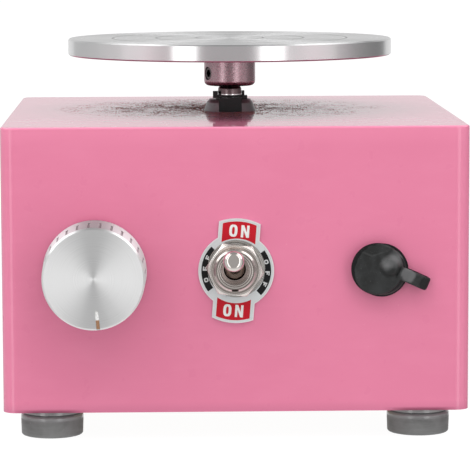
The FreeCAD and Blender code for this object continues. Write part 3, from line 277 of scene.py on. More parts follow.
def knob_finish():
    """The knob's spun face, and its duller side, darkened and tinted pink by painted shade and
    reflection, with painted shade in its flutes.
    """
    centre, colour, rough = (KNOB_X, 0, CONTROL_Z), (0.95, 0.95, 0.95), 0.36
    finish, _, rings, tint = turned_finish("knob_aluminium", "Y", centre, colour, 0.97)
    out = finish.math("SUBTRACT", PANEL_Y, finish.y)
    side = finish.fade(out, *KNOB_SIDE)
    right = finish.math("SUBTRACT", finish.x, centre[0])
    up = finish.math("SUBTRACT", finish.z, centre[2])
    turn = finish.math("ADD", finish.math("ARCTAN2", up, right), math.radians(360 - FLUTE_TURN))
    apart = finish.math("PINGPONG", finish.times(turn, KNOB_FLUTES / (2 * math.pi)), 0.5)
    flute_edge = (0.13, 0.09)  # half a flute's width, in pitches
    flute = finish.times(finish.fade(apart, *flute_edge), side)
    for end in (FLUTE_REAR, FLUTE_FRONT):
        flute = finish.times(flute, finish.fade(out, *end))
    # the side darker and pinkish: painted shade and painted reflection of the pink panel
    tint = finish.mix(side, tint, (0.74, 0.70, 0.715, 1))
    # painted shade: the flutes darkened
    finish.colour(finish.over(tint, (0.24, 0.19, 0.205, 1), flute, 0.7))
    face = finish.times(finish.math("ADD", rings, 2.8), rough * 0.3)
    finish.socket("Roughness", finish.math("ADD", finish.times(side, 0.26), face))
    return finish.data


def dust_mask(finish):
    """How much clay lies on the deck: hazy patches and fine specks, thinning outwards."""
    across = finish.math("DIVIDE", finish.math("SUBTRACT", finish.x, DUST_X * MM), DUST_WIDE * MM)
    along = finish.math("DIVIDE", finish.math("SUBTRACT", finish.y, DUST_Y * MM), DUST_LONG * MM)
    spread = finish.math("SQRT", finish.math(
        "ADD", finish.times(across, across), finish.times(along, along)
    ))
    density = finish.math("SUBTRACT", 1.0, spread)
    uneven = finish.times(finish.math("SUBTRACT", finish.grain(0.011, 3.0), 0.5), 1.1)
    on_deck = finish.fade(finish.z, DECK_Z - 0.0006, DECK_Z - 0.0001)
    amount = finish.times(finish.fade(finish.math("ADD", density, uneven), 0.0, 0.95), on_deck)
    haze = finish.grain(0.0035, 5.0, contrast=(0.45, 0.68))
    specks = finish.grain(0.0006, 3.0, contrast=(0.50, 0.62))
    return finish.times(amount, finish.math("MAXIMUM", finish.times(haze, 0.55), specks))


def paint_finish():
    """Pink lacquer on board, with clay dust settled on the deck round the spindle. Painted light
    on the deck and the top of the walls, painted shade along their bottom edge and painted shadow
    beside the feet.
    """
    finish = Finish("pink_paint", {
        "Coat Weight": 1.0, "Coat Roughness": 0.06, "Specular IOR Level": 0.12,
    })
    pink, deep, light = (0.792, 0.222, 0.362), (0.782, 0.216, 0.355), (0.815, 0.242, 0.386)
    blotch = finish.grain(0.022, 3.0, contrast=(0.35, 0.65))
    base = finish.mix(blotch, shade(pink, 1.0), shade(deep, 1.0))
    streak = finish.grain(0.004, 4.0, (0.35, 1.0, 1.0), (0.42, 0.72))
    # painted light: the deck and the top of the walls lighter pink
    top = finish.fade(finish.z, DECK_Z - 0.006, DECK_Z - 0.0015)
    # painted shade: the lowest few millimetres of the walls darker
    bottom = finish.fade(finish.z, low.z + 0.0032, low.z + 0.0002)
    # painted shadow: the bottom edge dark beside each foot
    painted_foot_shadow = finish.times(
        finish.line(finish.math("ABSOLUTE", finish.x), FOOT_OFFSET, 0.0125, 0.0035),
        finish.fade(finish.z, low.z + 0.0012, low.z + 0.0002),
    )
    flecks = finish.grain(0.0011, 2.0, contrast=(0.735, 0.79))
    pale = finish.grain(0.0009, 1.0, (1.3, 1.3, 1.3), (0.77, 0.82))
    for mask, strength, colour in (
        (streak, 0.35, shade(light, 1.0)),
        (top, 0.45, shade(light, 1.06)),
        (bottom, 0.5, (0.60, 0.165, 0.28, 1.0)),
        (painted_foot_shadow, 0.85, (0.20, 0.03, 0.07, 1.0)),
        (flecks, 0.07, (0.50, 0.10, 0.19, 1.0)),
        (pale, 0.1, (0.93, 0.62, 0.70, 1.0)),
    ):
        base = finish.over(base, colour, mask, strength)

    dust = dust_mask(finish)
    clay = finish.mix(finish.grain(0.0005, 2.0), (0.20, 0.065, 0.05, 1), (0.40, 0.165, 0.13, 1))
    finish.colour(finish.mix(dust, base, clay))
    finish.socket("Coat Weight", finish.math("SUBTRACT", 1.0, finish.times(dust, 0.85)))
    satin = finish.add("MapRange", {}, {
        "Value": finish.grain(0.005, 4.0), "To Min": 0.24, "To Max": 0.34,
    })
    finish.socket("Roughness", finish.math(
        "ADD", satin.outputs["Result"], finish.times(dust, 0.6)
    ))
    finish.bump(finish.grain(0.012, 2.0), 0.00004, 0.4)
    return finish.data


def board_finish():
    """Raw fibreboard: short pale fibres pressed in a brown ground."""
    finish = Finish("raw_board", {"Roughness": 0.85, "Specular IOR Level": 0.25})
    fibre = finish.grain(0.0012, 5.0, (1.0, 0.35, 1.0))
    base = finish.mix(fibre, (0.26, 0.16, 0.09, 1), (0.47, 0.32, 0.19, 1))
    patch = finish.grain(0.018, 2.0, contrast=(0.3, 0.7))
    finish.colour(finish.mix(patch, base, (0.38, 0.25, 0.145, 1)))
    finish.bump(fibre, 0.00008)
    return finish.data


def foot_finish():
    """Grey translucent rubber with a moulded sheen, a painted highlight round its shoulder, and a
    little dust.
    """
    finish = Finish("foot_rubber", {
        "Coat Weight": 0.7, "Coat Roughness": 0.08, "Subsurface Weight": 0.25,
        "Subsurface Radius": (0.003, 0.003, 0.003), "Subsurface Scale": 1.0,
        "Specular IOR Level": 0.6,
    })
    cloud = finish.grain(0.004, 3.0, contrast=(0.3, 0.7))
    base = finish.mix(cloud, (0.150, 0.152, 0.150, 1), (0.21, 0.212, 0.21, 1))
    drawn = finish.grain(0.0011, 3.0, (0.12, 0.12, 1.0), (0.3, 0.7))
    base = finish.over(base, (0.26, 0.262, 0.26, 1), drawn, 0.45)
    specks = finish.grain(0.0005, 2.0, contrast=(0.70, 0.78))
    base = finish.over(base, (0.5, 0.5, 0.48, 1), specks, 0.4)
    # painted highlight: a paler band round the shoulder
    painted_shoulder_highlight = finish.fade(finish.z, 0.0044, 0.0056)
    finish.colour(finish.over(base, (0.40, 0.40, 0.405, 1), painted_shoulder_highlight, 0.6))
    crown = finish.fade(finish.z, 0.0046, 0.0052)
    finish.socket("Coat Weight", finish.times(crown, 0.9))
    rough = finish.math("ADD", 0.5, finish.times(drawn, 0.1))
    finish.socket("Roughness", finish.math("SUBTRACT", rough, finish.times(crown, 0.3)))
    finish.bump(drawn, 0.00003)
    return finish.data


def hub_finish():
    """Cast metal with a satin plating that sparkles where the light strikes it."""
    finish = Finish("hub_metal", {"Metallic": 1.0})
    fine = finish.grain(0.00028, 2.0)
    finish.colour(finish.mix(fine, (0.27, 0.185, 0.20, 1), (0.60, 0.44, 0.48, 1)))
    finish.roughness(finish.grain(0.0005, 3.0), 0.15, 0.36)
    finish.bump(fine, 0.00005, 0.9)
    return finish.data


def rubber_finish(name="cap_rubber", lid=False):
    """Black moulded rubber, a little dusty, with a dull sheen, painted shade at its rim and fold,
    and pale painted highlights on the lid.
    """
    finish = Finish(name, {"Specular IOR Level": 0.35})
    cloud = finish.grain(0.003, 4.0, contrast=(0.35, 0.68))
    base = finish.mix(cloud, (0.012, 0.0125, 0.0125, 1), (0.026, 0.0275, 0.028, 1))

    def near(u, v, radius, soft):
        """1 within a radius in millimetres of a place on the lid, uneven at its edge."""
        offset = finish.vector("SUBTRACT", finish.place, tuple(CAP(u, v, 4.5))).outputs[0]
        far = finish.vector("LENGTH", offset).outputs["Value"]
        far = finish.math("ADD", far, finish.times(finish.grain(0.002), 0.0012))
        return finish.fade(far, (radius + soft + 0.6) * MM, (radius - soft + 0.6) * MM)

    # painted shade: darker near the panel, round the lid's edge and in the strap's fold
    rim = finish.fade(finish.y, PANEL_Y - 0.0026, PANEL_Y - 0.0014)
    if lid:
        inside = near(LID_SHIFT, 0.0, LID_RADIUS + 0.05, 0.2)
        outside = finish.math("SUBTRACT", 1.0, finish.times(inside, near(0.0, 0.0, 7.8, 0.15)))
        off_strap = finish.math("SUBTRACT", 1.0, near(10.4, STRAP_SIDE, 2.9, 0.3))
        rim = finish.math("MAXIMUM", rim, finish.times(outside, off_strap))
    fold = near(12.6, STRAP_SIDE, 2.0, 0.4)
    rim = finish.math("MAXIMUM", rim, finish.times(fold, 0.7))
    base = finish.mix(rim, base, (0.003, 0.003, 0.0035, 1))
    # pale patches on the grip, the edge above it, and the strap: painted highlights where they
    # face the light, with some rubbed wear
    for place, strength in (
        ((0.2, 2.3, 1.4, 0.9), 1.0), ((1.9, 4.5, 1.9, 1.1), 0.55), ((6.9, 1.9, 2.0, 0.5), 0.75),
    ):
        base = finish.over(base, (0.155, 0.155, 0.158, 1), near(*place), strength)
    specks = finish.grain(0.0004, 2.0, contrast=(0.66, 0.76))
    finish.colour(finish.over(base, (0.16, 0.15, 0.15, 1), specks, 0.3))
    dull = finish.math("ADD", 0.34, finish.times(finish.grain(0.0015, 3.0), 0.18))
    finish.socket("Roughness", finish.math("ADD", dull, finish.times(rim, 0.35)))
    finish.bump(finish.grain(0.0006, 4.0), 0.00003)
    return finish.data


def lead_finish(name, colour):
    """Glossy wire insulation with a slight draw texture."""
    return plain_finish(name, colour, 0.0, 0.32, 0.8, 0.08, 0.01, {"Coat Weight": 0.2})


# slot: colour, metallic, roughness, grain in mm, colour variation, relief in mm
FINISHES = {
    "zinc_steel": ((0.55, 0.56, 0.58), 1.0, 0.34, 0.6, 0.10, 0.01),
    "motor_steel": ((0.50, 0.50, 0.51), 1.0, 0.30, 0.9, 0.06, 0.01),
    "magnet": ((0.045, 0.045, 0.05), 0.0, 0.62, 0.4, 0.20, 0.03),
    "bronze": ((0.45, 0.27, 0.12), 1.0, 0.42, 0.35, 0.15, 0.02),
    "contact_brass": ((0.72, 0.52, 0.22), 1.0, 0.30, 0.5, 0.08, 0.01),
    "carbon": ((0.03, 0.03, 0.032), 0.0, 0.55, 0.3, 0.25, 0.02),
    "boss_metal": ((0.32, 0.30, 0.31), 0.85, 0.36, 0.35, 0.30, 0.05),
    "black_plastic": ((0.012, 0.012, 0.013), 0.0, 0.22, 0.7, 0.25, 0.01),
    "phenolic": ((0.20, 0.085, 0.035), 0.0, 0.45, 0.8, 0.15, 0.02),
    "board_green": ((0.02, 0.14, 0.055), 0.0, 0.30, 1.2, 0.14, 0.02),
    "terminal_green": ((0.03, 0.26, 0.09), 0.0, 0.40, 0.8, 0.08, 0.02),
    "foil_sleeve": ((0.02, 0.025, 0.06), 0.0, 0.22, 1.0, 0.10, 0.01),
    "transistor_black": ((0.02, 0.02, 0.021), 0.0, 0.50, 0.3, 0.25, 0.03),
    "copper": ((0.75, 0.30, 0.13), 1.0, 0.30, 0.4, 0.10, 0.03),
    "laminations": ((0.28, 0.28, 0.29), 1.0, 0.45, 0.3, 0.12, 0.03),
    # shaft and collar colours darkened and tinted mauve: painted reflection of the pink deck
    "shaft_steel": ((0.40, 0.36, 0.36), 1.0, 0.22, 0.5, 0.10, 0.005),
    "collar_steel": ((0.20, 0.15, 0.155), 1.0, 0.28, 0.3, 0.30, 0.03),
    "bright_washer": ((0.82, 0.80, 0.80), 1.0, 0.16, 0.5, 0.04, 0.005),
    "black_oxide": ((0.16, 0.13, 0.135), 1.0, 0.24, 0.3, 0.20, 0.01),
    "nickel": ((0.74, 0.69, 0.65), 1.0, 0.09, 0.6, 0.05, 0.006),
    "label_metal": ((0.76, 0.78, 0.79), 0.45, 0.36, 0.4, 0.05, 0.008),
}


def thread_finish():
    """Turned nickel of the switch's bushing: bright rings, with dark rings and the inside of its
    mouth darkened as painted shade.
    """
    finish = Finish("nickel_turned", {"Metallic": 1.0})
    radius, rings = ringed(finish, "Y", NUT_AXIS, 0.0005)
    base = finish.mix(rings, (0.50, 0.43, 0.40, 1), (0.88, 0.83, 0.79, 1))
    # painted shade: dark rings on the face
    for place, width in ((0.0052, 0.00022), (0.0045, 0.00016), (0.0039, 0.0003)):
        line = finish.line(radius, place, width, width * 0.3)
        base = finish.over(base, (0.13, 0.085, 0.07, 1), line, 0.75)
    # painted shade inside the mouth
    mouth = finish.fade(radius, 0.0041, 0.0036)
    finish.colour(finish.mix(mouth, base, (0.50, 0.42, 0.39, 1)))
    finish.roughness(rings, 0.10, 0.24)
    finish.bump(rings, 0.00009)
    return finish.data


def nut_finish():
    """Worn nickel of the front nut, with soft turning marks and a ring of painted shade near its
    edge.
    """
    finish = Finish("nickel_nut", {"Metallic": 1.0})
    radius, rings = ringed(finish, "Y", NUT_AXIS, 0.0011)
    marks = finish.fade(rings, 0.35, 0.7)
    base = finish.mix(marks, (0.60, 0.53, 0.49, 1), (0.92, 0.88, 0.84, 1))
    # painted shade: a dark ring near the edge of the face
    line = finish.line(radius, 0.0064, 0.00025, 0.0001)
    base = finish.over(base, (0.22, 0.17, 0.15, 1), line, 0.6)
    finish.colour(finish.over(base, (0.70, 0.62, 0.58, 1), finish.grain(0.0018, 3.0), 0.35))
    finish.roughness(rings, 0.12, 0.30)
    finish.bump(rings, 0.00014)
    return finish.data


def washer_finish():
    """Spring washer with darker bands round it."""
    finish = Finish("washer_steel", {"Metallic": 1.0})
    _, rings = ringed(finish, "Y", NUT_AXIS, 0.0009)
    base = finish.mix(finish.fade(rings, 0.4, 0.6), (0.20, 0.19, 0.18, 1), (0.80, 0.78, 0.75, 1))
    finish.colour(finish.mix(finish.grain(0.0006), base, (0.55, 0.53, 0.50, 1)))
    finish.roughness(rings, 0.14, 0.30)
    finish.bump(rings, 0.00012)
    return finish.data


def make_materials():
    """A material for every slot that the record names."""
    made = {slot: plain_finish(slot, *values) for slot, values in FINISHES.items()}
    made["pink_paint"] = paint_finish()
    made["raw_board"] = board_finish()
    made["foot_rubber"] = foot_finish()
    made["hub_metal"] = hub_finish()
    made["cap_rubber"] = rubber_finish()
    made["red_insulation"] = lead_finish("red_insulation", (0.55, 0.02, 0.02))
    made["black_insulation"] = lead_finish("black_insulation", (0.015, 0.015, 0.016))
    made["turned_aluminium"] = disc_finish()
    made["knob_aluminium"] = knob_finish()
    return made


def dress_nodes(materials):
    """Gives every CAD node the finish of its slot in the record, or one of its own."""
    special = {"switch_bushing": thread_finish(), "switch_lock_washer": washer_finish(),
               "switch_front_nut": nut_finish()}
    for part in frame["record"]["subparts"]:
        mesh = frame["nodes"][part["node"]].data
        mesh.materials.clear()
        mesh.materials.append(special.get(part["node"], materials[part["material_slot"]]))


# ---------------------------------------------------------------- mesh pieces

def finish_mesh(name, build):
    bmesh.ops.recalc_face_normals(build, faces=build.faces)
    mesh = bpy.data.meshes.new(name)
    build.to_mesh(mesh)
    build.free()
    return mesh


def new_piece(name, build, material, body, smooth=False):
    """A piece from a built mesh. Without a body it is left unattached."""
    mesh = finish_mesh(name, build)
    piece = bpy.data.objects.new(name, mesh)
    scene.collection.objects.link(piece)
    mesh.materials.append(material)
    if smooth:
        mesh.polygons.foreach_set("use_smooth", [True] * len(mesh.polygons))
    if body:
        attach(piece, body)
    return piece


def slab(build, outline, place, base, top):
    """A flat solid of an outline in millimetres between two heights over the panel."""
    lower = [build.verts.new(place(u, v, base)) for u, v in outline]
    upper = [build.verts.new(place(u, v, top)) for u, v in outline]
    build.faces.new(lower)
    build.faces.new(upper)
    for k in range(len(outline)):
        after = (k + 1) % len(outline)
        build.faces.new((lower[k], lower[after], upper[after], upper[k]))


def ring_slab(build, outer, inner, place, base, top):
    """A slab with a hole; the outer and inner outlines have as many points."""
    loops = [
        [build.verts.new(place(u, v, h)) for u, v in outline]
        for outline in (outer, inner) for h in (base, top)
    ]
    outer_low, outer_top, inner_low, inner_top = loops
    pairs = ((outer_low, outer_top), (outer_top, inner_top), (inner_top, inner_low),
             (inner_low, outer_low))
    for k in range(len(outer)):
        after = (k + 1) % len(outer)
        for first, second in pairs:
            build.faces.new((first[k], first[after], second[after], second[k]))


def arc(radius, start, end, steps):
    return [
        (radius * math.cos(math.radians(start + (end - start) * k / steps)),
         radius * math.sin(math.radians(start + (end - start) * k / steps)))
        for k in range(steps + 1)
    ]


def oval(width, height, x, y, steps=28):
    """A rounded upright letter shape: half way between an ellipse and its box."""
    points = []
    for k in range(steps):
        angle = 2 * math.pi * k / steps
        c, s = math.cos(angle), math.sin(angle)
        points.append((
            x + width / 2 * math.copysign(abs(c) ** 0.72, c),
            y + height / 2 * math.copysign(abs(s) ** 0.72, s),
        ))
    return points


# outlines of the straight letters in a box one unit square
LETTER_N = [
    (-0.5, -0.5), (-0.5, 0.5), (-0.16, 0.5), (0.2, -0.08), (0.2, 0.5), (0.5, 0.5),
    (0.5, -0.5), (0.17, -0.5), (-0.2, 0.1), (-0.2, -0.5),
]
LETTER_F = [
    (-0.5, -0.5), (-0.5, 0.5), (0.5, 0.5), (0.5, 0.24), (-0.14, 0.24), (-0.14, 0.08),
    (0.36, 0.08), (0.36, -0.17), (-0.14, -0.17), (-0.14, -0.5),
]
# heights of the print over the panel, and the plate's outline, in millimetres
FILM_BASE, FILM, LETTER_BASE, LETTER_TOP = 0.79, 0.82, 0.81, 0.85
PLATE_RADIUS, TAB_HALF, TAB_REACH = 10.65, 5.85, 14.8


def bent(place, radius, degrees):
    """Places flat text on an arc: along it clockwise, letter tops outwards."""
    def where(u, v, h):
        angle = math.radians(degrees) - u / radius
        return place((radius + v) * math.cos(angle), (radius + v) * math.sin(angle), h)
    return where


def ink(name, colour, metallic, rough, variation, specular=0.5):
    return plain_finish(
        name, colour, metallic, rough, 0.3, variation, 0.004, {"Specular IOR Level": specular}
    )


def make_fields():
    """The label's two red fields, on its tabs, and its two black bands."""
    red, black = bmesh.new(), bmesh.new()
    half, outer, inner = 4.75, 14.0, 9.15
    spread_out = math.degrees(math.acos(half / outer))
    spread_in = math.degrees(math.acos(half / inner))
    band_outer, band_inner, band_half = 9.8, 8.0, 40.5
    for turn in (0, 180):
        edge = arc(outer, spread_out + turn, 180 - spread_out + turn, 14)
        back = arc(inner, 180 - spread_in + turn, spread_in + turn, 14)
        slab(red, edge + back, LABEL, FILM_BASE, FILM)
        edge = arc(band_outer, turn - band_half, turn + band_half, 24)
        back = arc(band_inner, turn + band_half, turn - band_half, 24)
        slab(black, edge + back, LABEL, FILM_BASE, FILM)
    red_ink = ink("label_red", (0.52, 0.008, 0.020), 0.0, 0.45, 0.12, 0.2)
    new_piece("label_print_red", red, red_ink, "root")
    black_ink = ink("label_black", (0.008, 0.008, 0.009), 0.0, 0.5, 0.3, 0.2)
    new_piece("label_print_black", black, black_ink, "root")


def make_words():
    """Plain function words: ON in both red fields, OFF along both black bands."""
    words = bmesh.new()
    width, height, stroke, apart = 2.3, 3.45, 0.78, 1.66
    for middle in (11.3, -11.3):
        ring_slab(
            words,
            oval(width, height, -apart, middle),
            oval(width - stroke * 2, height - stroke * 1.7, -apart, middle),
            LABEL, LETTER_BASE, LETTER_TOP,
        )
        outline = [(apart + u * width, middle + v * height) for u, v in LETTER_N]
        slab(words, outline, LABEL, LETTER_BASE, LETTER_TOP)
    white_ink = ink("label_white", (0.80, 0.80, 0.78), 0.0, 0.45, 0.06)
    new_piece("label_words_on", words, white_ink, "root")

    arcs = bmesh.new()
    size, stroke, radius = 1.25, 0.34, 8.8
    hole = size - stroke * 2
    for side in (0, 180):
        for letter, degrees in (("O", 21.0), ("F", 0.0), ("F", -21.0)):
            place = bent(LABEL, radius, side + degrees)
            if letter == "O":
                outer, inner = oval(size, size, 0, 0, 20), oval(hole, hole, 0, 0, 20)
                ring_slab(arcs, outer, inner, place, LETTER_BASE, LETTER_TOP)
            else:
                outline = [(u * size * 0.9, v * size) for u, v in LETTER_F]
                slab(arcs, outline, place, LETTER_BASE, LETTER_TOP)
    silver = ink("label_silver", (0.78, 0.78, 0.78), 0.6, 0.35, 0.06)
    new_piece("label_words_off", arcs, silver, "root")


def plate_outline(inset):
    """Outline of the label plate, a disc with a tab above and below, drawn in by an inset."""
    points = []
    for k in range(360):
        angle = math.radians(k)
        side = (TAB_HALF - inset) / max(1e-6, abs(math.cos(angle)))
        radius = max(PLATE_RADIUS - inset, min(TAB_REACH - inset, side))
        points.append((radius * math.cos(angle), radius * math.sin(angle)))
    return points


def make_label_edge():
    """A thin raised ring along the label plate's edge, coloured bright as a painted highlight of
    its bevel.
    """
    build = bmesh.new()
    ring_slab(build, plate_outline(0.04), plate_outline(0.30), LABEL, 0.78, 0.87)
    bright = ink("label_edge", (0.90, 0.90, 0.90), 0.5, 0.3, 0.05)
    new_piece("label_edge", build, bright, "root")


def make_nut_edge():
    """The broken front edge of the hexagon nut, which catches the light."""
    top, steps = 5.1, 12
    cone_radius, cone_slope = 7.05, 0.546
    # from the flat to the cone: distance from the nut's axis, and height over its face
    section = ((6.72, 0.03), (7.10, -0.22), (7.06, -0.34), (6.70, -0.02))
    turned = Place(NUT_X, -6.0)
    rise = Vector((0, 0, NUT_Z - CONTROL_Z))

    def where(apothem, share, side, lift):
        """A place along one side of the nut, over the cone that bevels its corners."""
        along = apothem * math.tan(math.radians(30)) * (2 * share - 1)
        angle = math.radians(30 + 60 * side)
        u = apothem * math.cos(angle) - along * math.sin(angle)
        v = apothem * math.sin(angle) + along * math.cos(angle)
        drop = max(0.0, math.hypot(u, v) - cone_radius) * cone_slope
        return turned(u, v, top - drop + lift) + rise

    build = bmesh.new()
    sections = []
    for side in range(6):
        for step in range(steps):
            share = step / steps
            sections.append([
                build.verts.new(where(apothem, share, side, lift)) for apothem, lift in section
            ])
    bridge(build, sections, closed=True)
    bright = plain_finish("nut_edge", (0.92, 0.89, 0.86), 1.0, 0.16, 0.3, 0.05, 0.004)
    new_piece("nut_edge", build, bright, "root")


def make_pointer():
    """Paint in the knob's pointer slot: white, gone brown with clay towards the rim."""
    half, steps = 0.47, 10
    bottom, side, middle = 16.51, 16.74, 16.68
    section = ((-half, bottom), (-half, side), (0.0, middle), (half, side), (half, bottom))
    for name, start, end, colour in (
        ("pointer_white", 8.76, 11.4, (0.86, 0.86, 0.84)),
        ("pointer_clay", 11.4, 13.85, (0.36, 0.19, 0.10)),
    ):
        build = bmesh.new()
        rows = []
        for k in range(steps + 1):
            v = -(start + (end - start) * k / steps)
            wobble = 0.05 * noise.noise(Vector((v * 2.3, 1.7, 0.4)))
            rows.append([
                build.verts.new(POINTER(u, v, h + (wobble if h > bottom else 0.0)))
                for u, h in section
            ])
        bridge(build, rows)
        build.faces.new(rows[0])
        build.faces.new(rows[-1])
        paint = plain_finish(name, colour, 0.0, 0.6, 0.3, 0.18, 0.02)
        new_piece(name, build, paint, "speed_control")


def make_dust():
    """Loose grains of dried clay on the deck, thickest round and behind the spindle."""
    rng = random.Random(DUST_SEED)
    build = bmesh.new()
    made = 0
    while made < DUST_GRAINS:
        angle = rng.uniform(0, 2 * math.pi)
        reach = rng.random() ** 0.8
        x = (DUST_X + math.cos(angle) * DUST_WIDE * reach) * MM
        y = (DUST_Y + math.sin(angle) * DUST_LONG * reach) * MM
        clump = 0.45 * noise.noise(Vector((x * 110, y * 110, 3.1)))
        clump += 0.35 * noise.noise(Vector((x * 420, y * 420, 8.3)))
        clump -= 0.12 if x > 0 else 0.0
        if math.hypot(x, y) < SPINDLE_CLEAR * MM:
            continue
        if clump < rng.uniform(-0.35, 0.4) + reach * 0.2:
            continue
        size = rng.uniform(0.05, 0.15) * (1.3 - 0.7 * reach) * MM
        tall = size * rng.uniform(0.6, 1.0)
        turn = rng.uniform(0, math.pi)
        c, s = math.cos(turn) * size, math.sin(turn) * size
        ring = [
            build.verts.new((x + a * c - b * s, y + a * s + b * c, DECK_Z + tall * 0.45))
            for a, b in ((1.3, 0), (0, 0.9), (-1, 0.2), (0.1, -1.1))
        ]
        top = build.verts.new((x, y, DECK_Z + tall * 1.3))
        base = build.verts.new((x, y, DECK_Z + tall * 0.02))
        for k in range(4):
            after = (k + 1) % 4
            build.faces.new((ring[k], ring[after], top))
            build.faces.new((ring[after], ring[k], base))
        made += 1
    clay = plain_finish("clay", (0.40, 0.15, 0.115), 0.0, 0.95, 0.6, 0.5, 0.03)
    new_piece("clay_dust", build, clay, "root")


# Rubber cap, in millimetres. The lid's top layer ends in a V along these points, right and up
# of the inlet. Next come the lid, its domed grip, and the strap's offset and fold.
CREASE = [(-9.5, 6.9), (-7.1, 6.13), (-2.96, 4.39), (0.46, 5.46), (3.4, 6.9)]
LID_SHIFT, LID_RADIUS = -1.6, 7.3
DOME_U, DOME_V, DOME_RADIUS = 1.3, 2.2, 3.3
STRAP_SIDE = 1.67
FOLD_U, FOLD_H, FOLD_RADIUS = 11.42, 2.25, 1.5


def crease_height(x):
    """Height of the V over the inlet's centre at a place across it."""
    for (x0, y0), (x1, y1) in zip(CREASE, CREASE[1:]):
        if x0 <= x <= x1:
            return y0 + (y1 - y0) * (x - x0) / (x1 - x0)
    return CREASE[0][1] if x < CREASE[0][0] else CREASE[-1][1]


def smooth_step(value, start, end):
    t = max(0.0, min(1.0, (value - start) / (end - start)))
    return t * t * (3 - 2 * t)


def lid_height(u, v):
    """Height of the lid's face: domed grip, V crease with a stepped layer, rounded edge."""
    turn = CAP.turn
    x = u * math.cos(turn) - v * math.sin(turn)
    y = u * math.sin(turn) + v * math.cos(turn)
    reach = math.hypot(u - LID_SHIFT, v) / LID_RADIUS
    height = 4.1 + 0.1 * noise.noise(Vector((u * 0.3, v * 0.3, 2.0)))
    above = y - crease_height(x)
    height -= 0.32 * smooth_step(above, -0.1, 0.1)
    height += 0.07 * math.exp(-((above + 0.3) / 0.25) ** 2)
    far = math.hypot(u - DOME_U, v - DOME_V) / DOME_RADIUS
    height += 1.35 * (1 - smooth_step(far, 0.55, 1.02)) * (1 - 0.22 * far ** 2)
    edge = max(0.0, (reach - 0.92) / 0.08)
    height -= 0.45 * edge ** 2.5
    return height


def circle_loop(build, radius, height, spokes, shift=0.0):
    """A ring of vertices about the inlet, or shifted along the strap. No height: on the lid."""
    points = [(u + shift, v) for u, v in arc(radius, 0, 360 - 360 / spokes, spokes - 1)]
    return [
        build.verts.new(CAP(u, v, lid_height(u, v) if height is None else height))
        for u, v in points
    ]


def bridge(build, loops, closed=False):
    """Faces between each ring of vertices and the next."""
    for first, second in zip(loops, loops[1:] + (loops[:1] if closed else [])):
        for k in range(len(first)):
            after = (k + 1) % len(first)
            build.faces.new((first[k], first[after], second[after], second[k]))


def make_lid(material):
    """The cap's lid with its grip, plug and the upper run of its strap."""
    build = bmesh.new()
    spokes, rings = 132, 40
    bottom = 3.12
    loops = [
        circle_loop(build, LID_RADIUS * k / rings, None, spokes, LID_SHIFT)
        for k in range(1, rings + 1)
    ]
    loops.append(circle_loop(build, LID_RADIUS, 3.4, spokes, LID_SHIFT))
    loops.append(circle_loop(build, LID_RADIUS - 0.15, bottom, spokes, LID_SHIFT))
    for radius, height in ((2.5, bottom), (2.5, 1.4), (2.3, 1.2)):
        loops.append(circle_loop(build, radius, height, spokes))
    bridge(build, loops)
    centre = build.verts.new(CAP(LID_SHIFT, 0, lid_height(LID_SHIFT, 0)))
    for k in range(spokes):
        build.faces.new((centre, loops[0][(k + 1) % spokes], loops[0][k]))
    build.faces.new(loops[-1])
    sweep_strap(build, [(4.3 + 0.35 * k, 3.76) for k in range(21)])
    piece = new_piece("rubber_lid", build, material, "inlet_cap", True)
    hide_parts("dust_cap")


def sweep_strap(build, path):
    """A strap with rounded edges along a path of (distance, height) in millimetres."""
    width, thick, corners = 3.7, 1.3, 24
    rings = []
    for k, (u, h) in enumerate(path):
        before = Vector(path[max(0, k - 1)])
        after = Vector(path[min(len(path) - 1, k + 1)])
        along = (after - before).normalized()
        outward = Vector((-along.y, along.x))
        ring = []
        for j in range(corners):
            angle = 2 * math.pi * j / corners
            c, s = math.cos(angle), math.sin(angle)
            side = width / 2 * math.copysign(abs(c) ** 0.4, c)
            lift = thick / 2 * math.copysign(abs(s) ** 0.55, s)
            spot = Vector((u, h)) + outward * lift
            ring.append(build.verts.new(CAP(spot.x, STRAP_SIDE + side, spot.y)))
        rings.append(ring)
    bridge(build, rings)
    build.faces.new(rings[0])
    build.faces.new(rings[-1])


def make_tether(material):
    """The ring round the inlet, the strap's lower run and its fold."""
    build = bmesh.new()
    profile = [(6.08, 0.02), (7.3, 0.02), (7.5, 0.3), (7.5, 1.2), (7.25, 1.48), (6.08, 1.48)]
    bridge(build, [circle_loop(build, r, h, 96) for r, h in profile], closed=True)
    path = [(6.4 + 0.5 * k, FOLD_H - FOLD_RADIUS) for k in range(11)]
    for degrees in range(9, 180, 9):
        angle = math.radians(degrees)
        path.append((
            FOLD_U + FOLD_RADIUS * math.sin(angle), FOLD_H - FOLD_RADIUS * math.cos(angle)
        ))
    path += [(FOLD_U - 0.2 * k, FOLD_H + FOLD_RADIUS) for k in range(4)]
    sweep_strap(build, path)
    piece = new_piece("rubber_tether", build, material, None, True)
    start = CAP(FOLD_U, STRAP_SIDE, FOLD_H - 0.7)
    end = CAP(FOLD_U, STRAP_SIDE, FOLD_H + 0.85)
    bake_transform(piece)
    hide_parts("cap_tether")


# ---------------------------------------------------------------- studio

# Brightness round the horizon, in degrees from the camera's side, right positive.
HORIZON = [
    (-180, 0.82), (-150, 0.80), (-147, 0.58), (-86, 0.60), (-83, 0.74), (-64, 0.72),
    (-61, 0.64), (-43, 0.56), (-41.5, 2.0), (-25.5, 2.0), (-24, 0.45), (15, 0.45), (17, 0.7),
    (19.5, 0.7), (21, 2.0), (37, 2.0), (38.5, 0.79), (77, 0.68), (80, 0.5), (97, 0.30),
    (130, 0.24), (140, 0.30), (148, 0.78), (180, 0.82),
]
# brightness overhead, of the two high side boxes, of the low walls, under the horizon as the
# metal mirrors it, and how much darker the wall behind the object is
CEILING, SIDE_BOXES, LOW_WALLS, UNDERSIDE, BACK_SHADE = 0.36, 2.2, 0.56, 0.95, 0.15


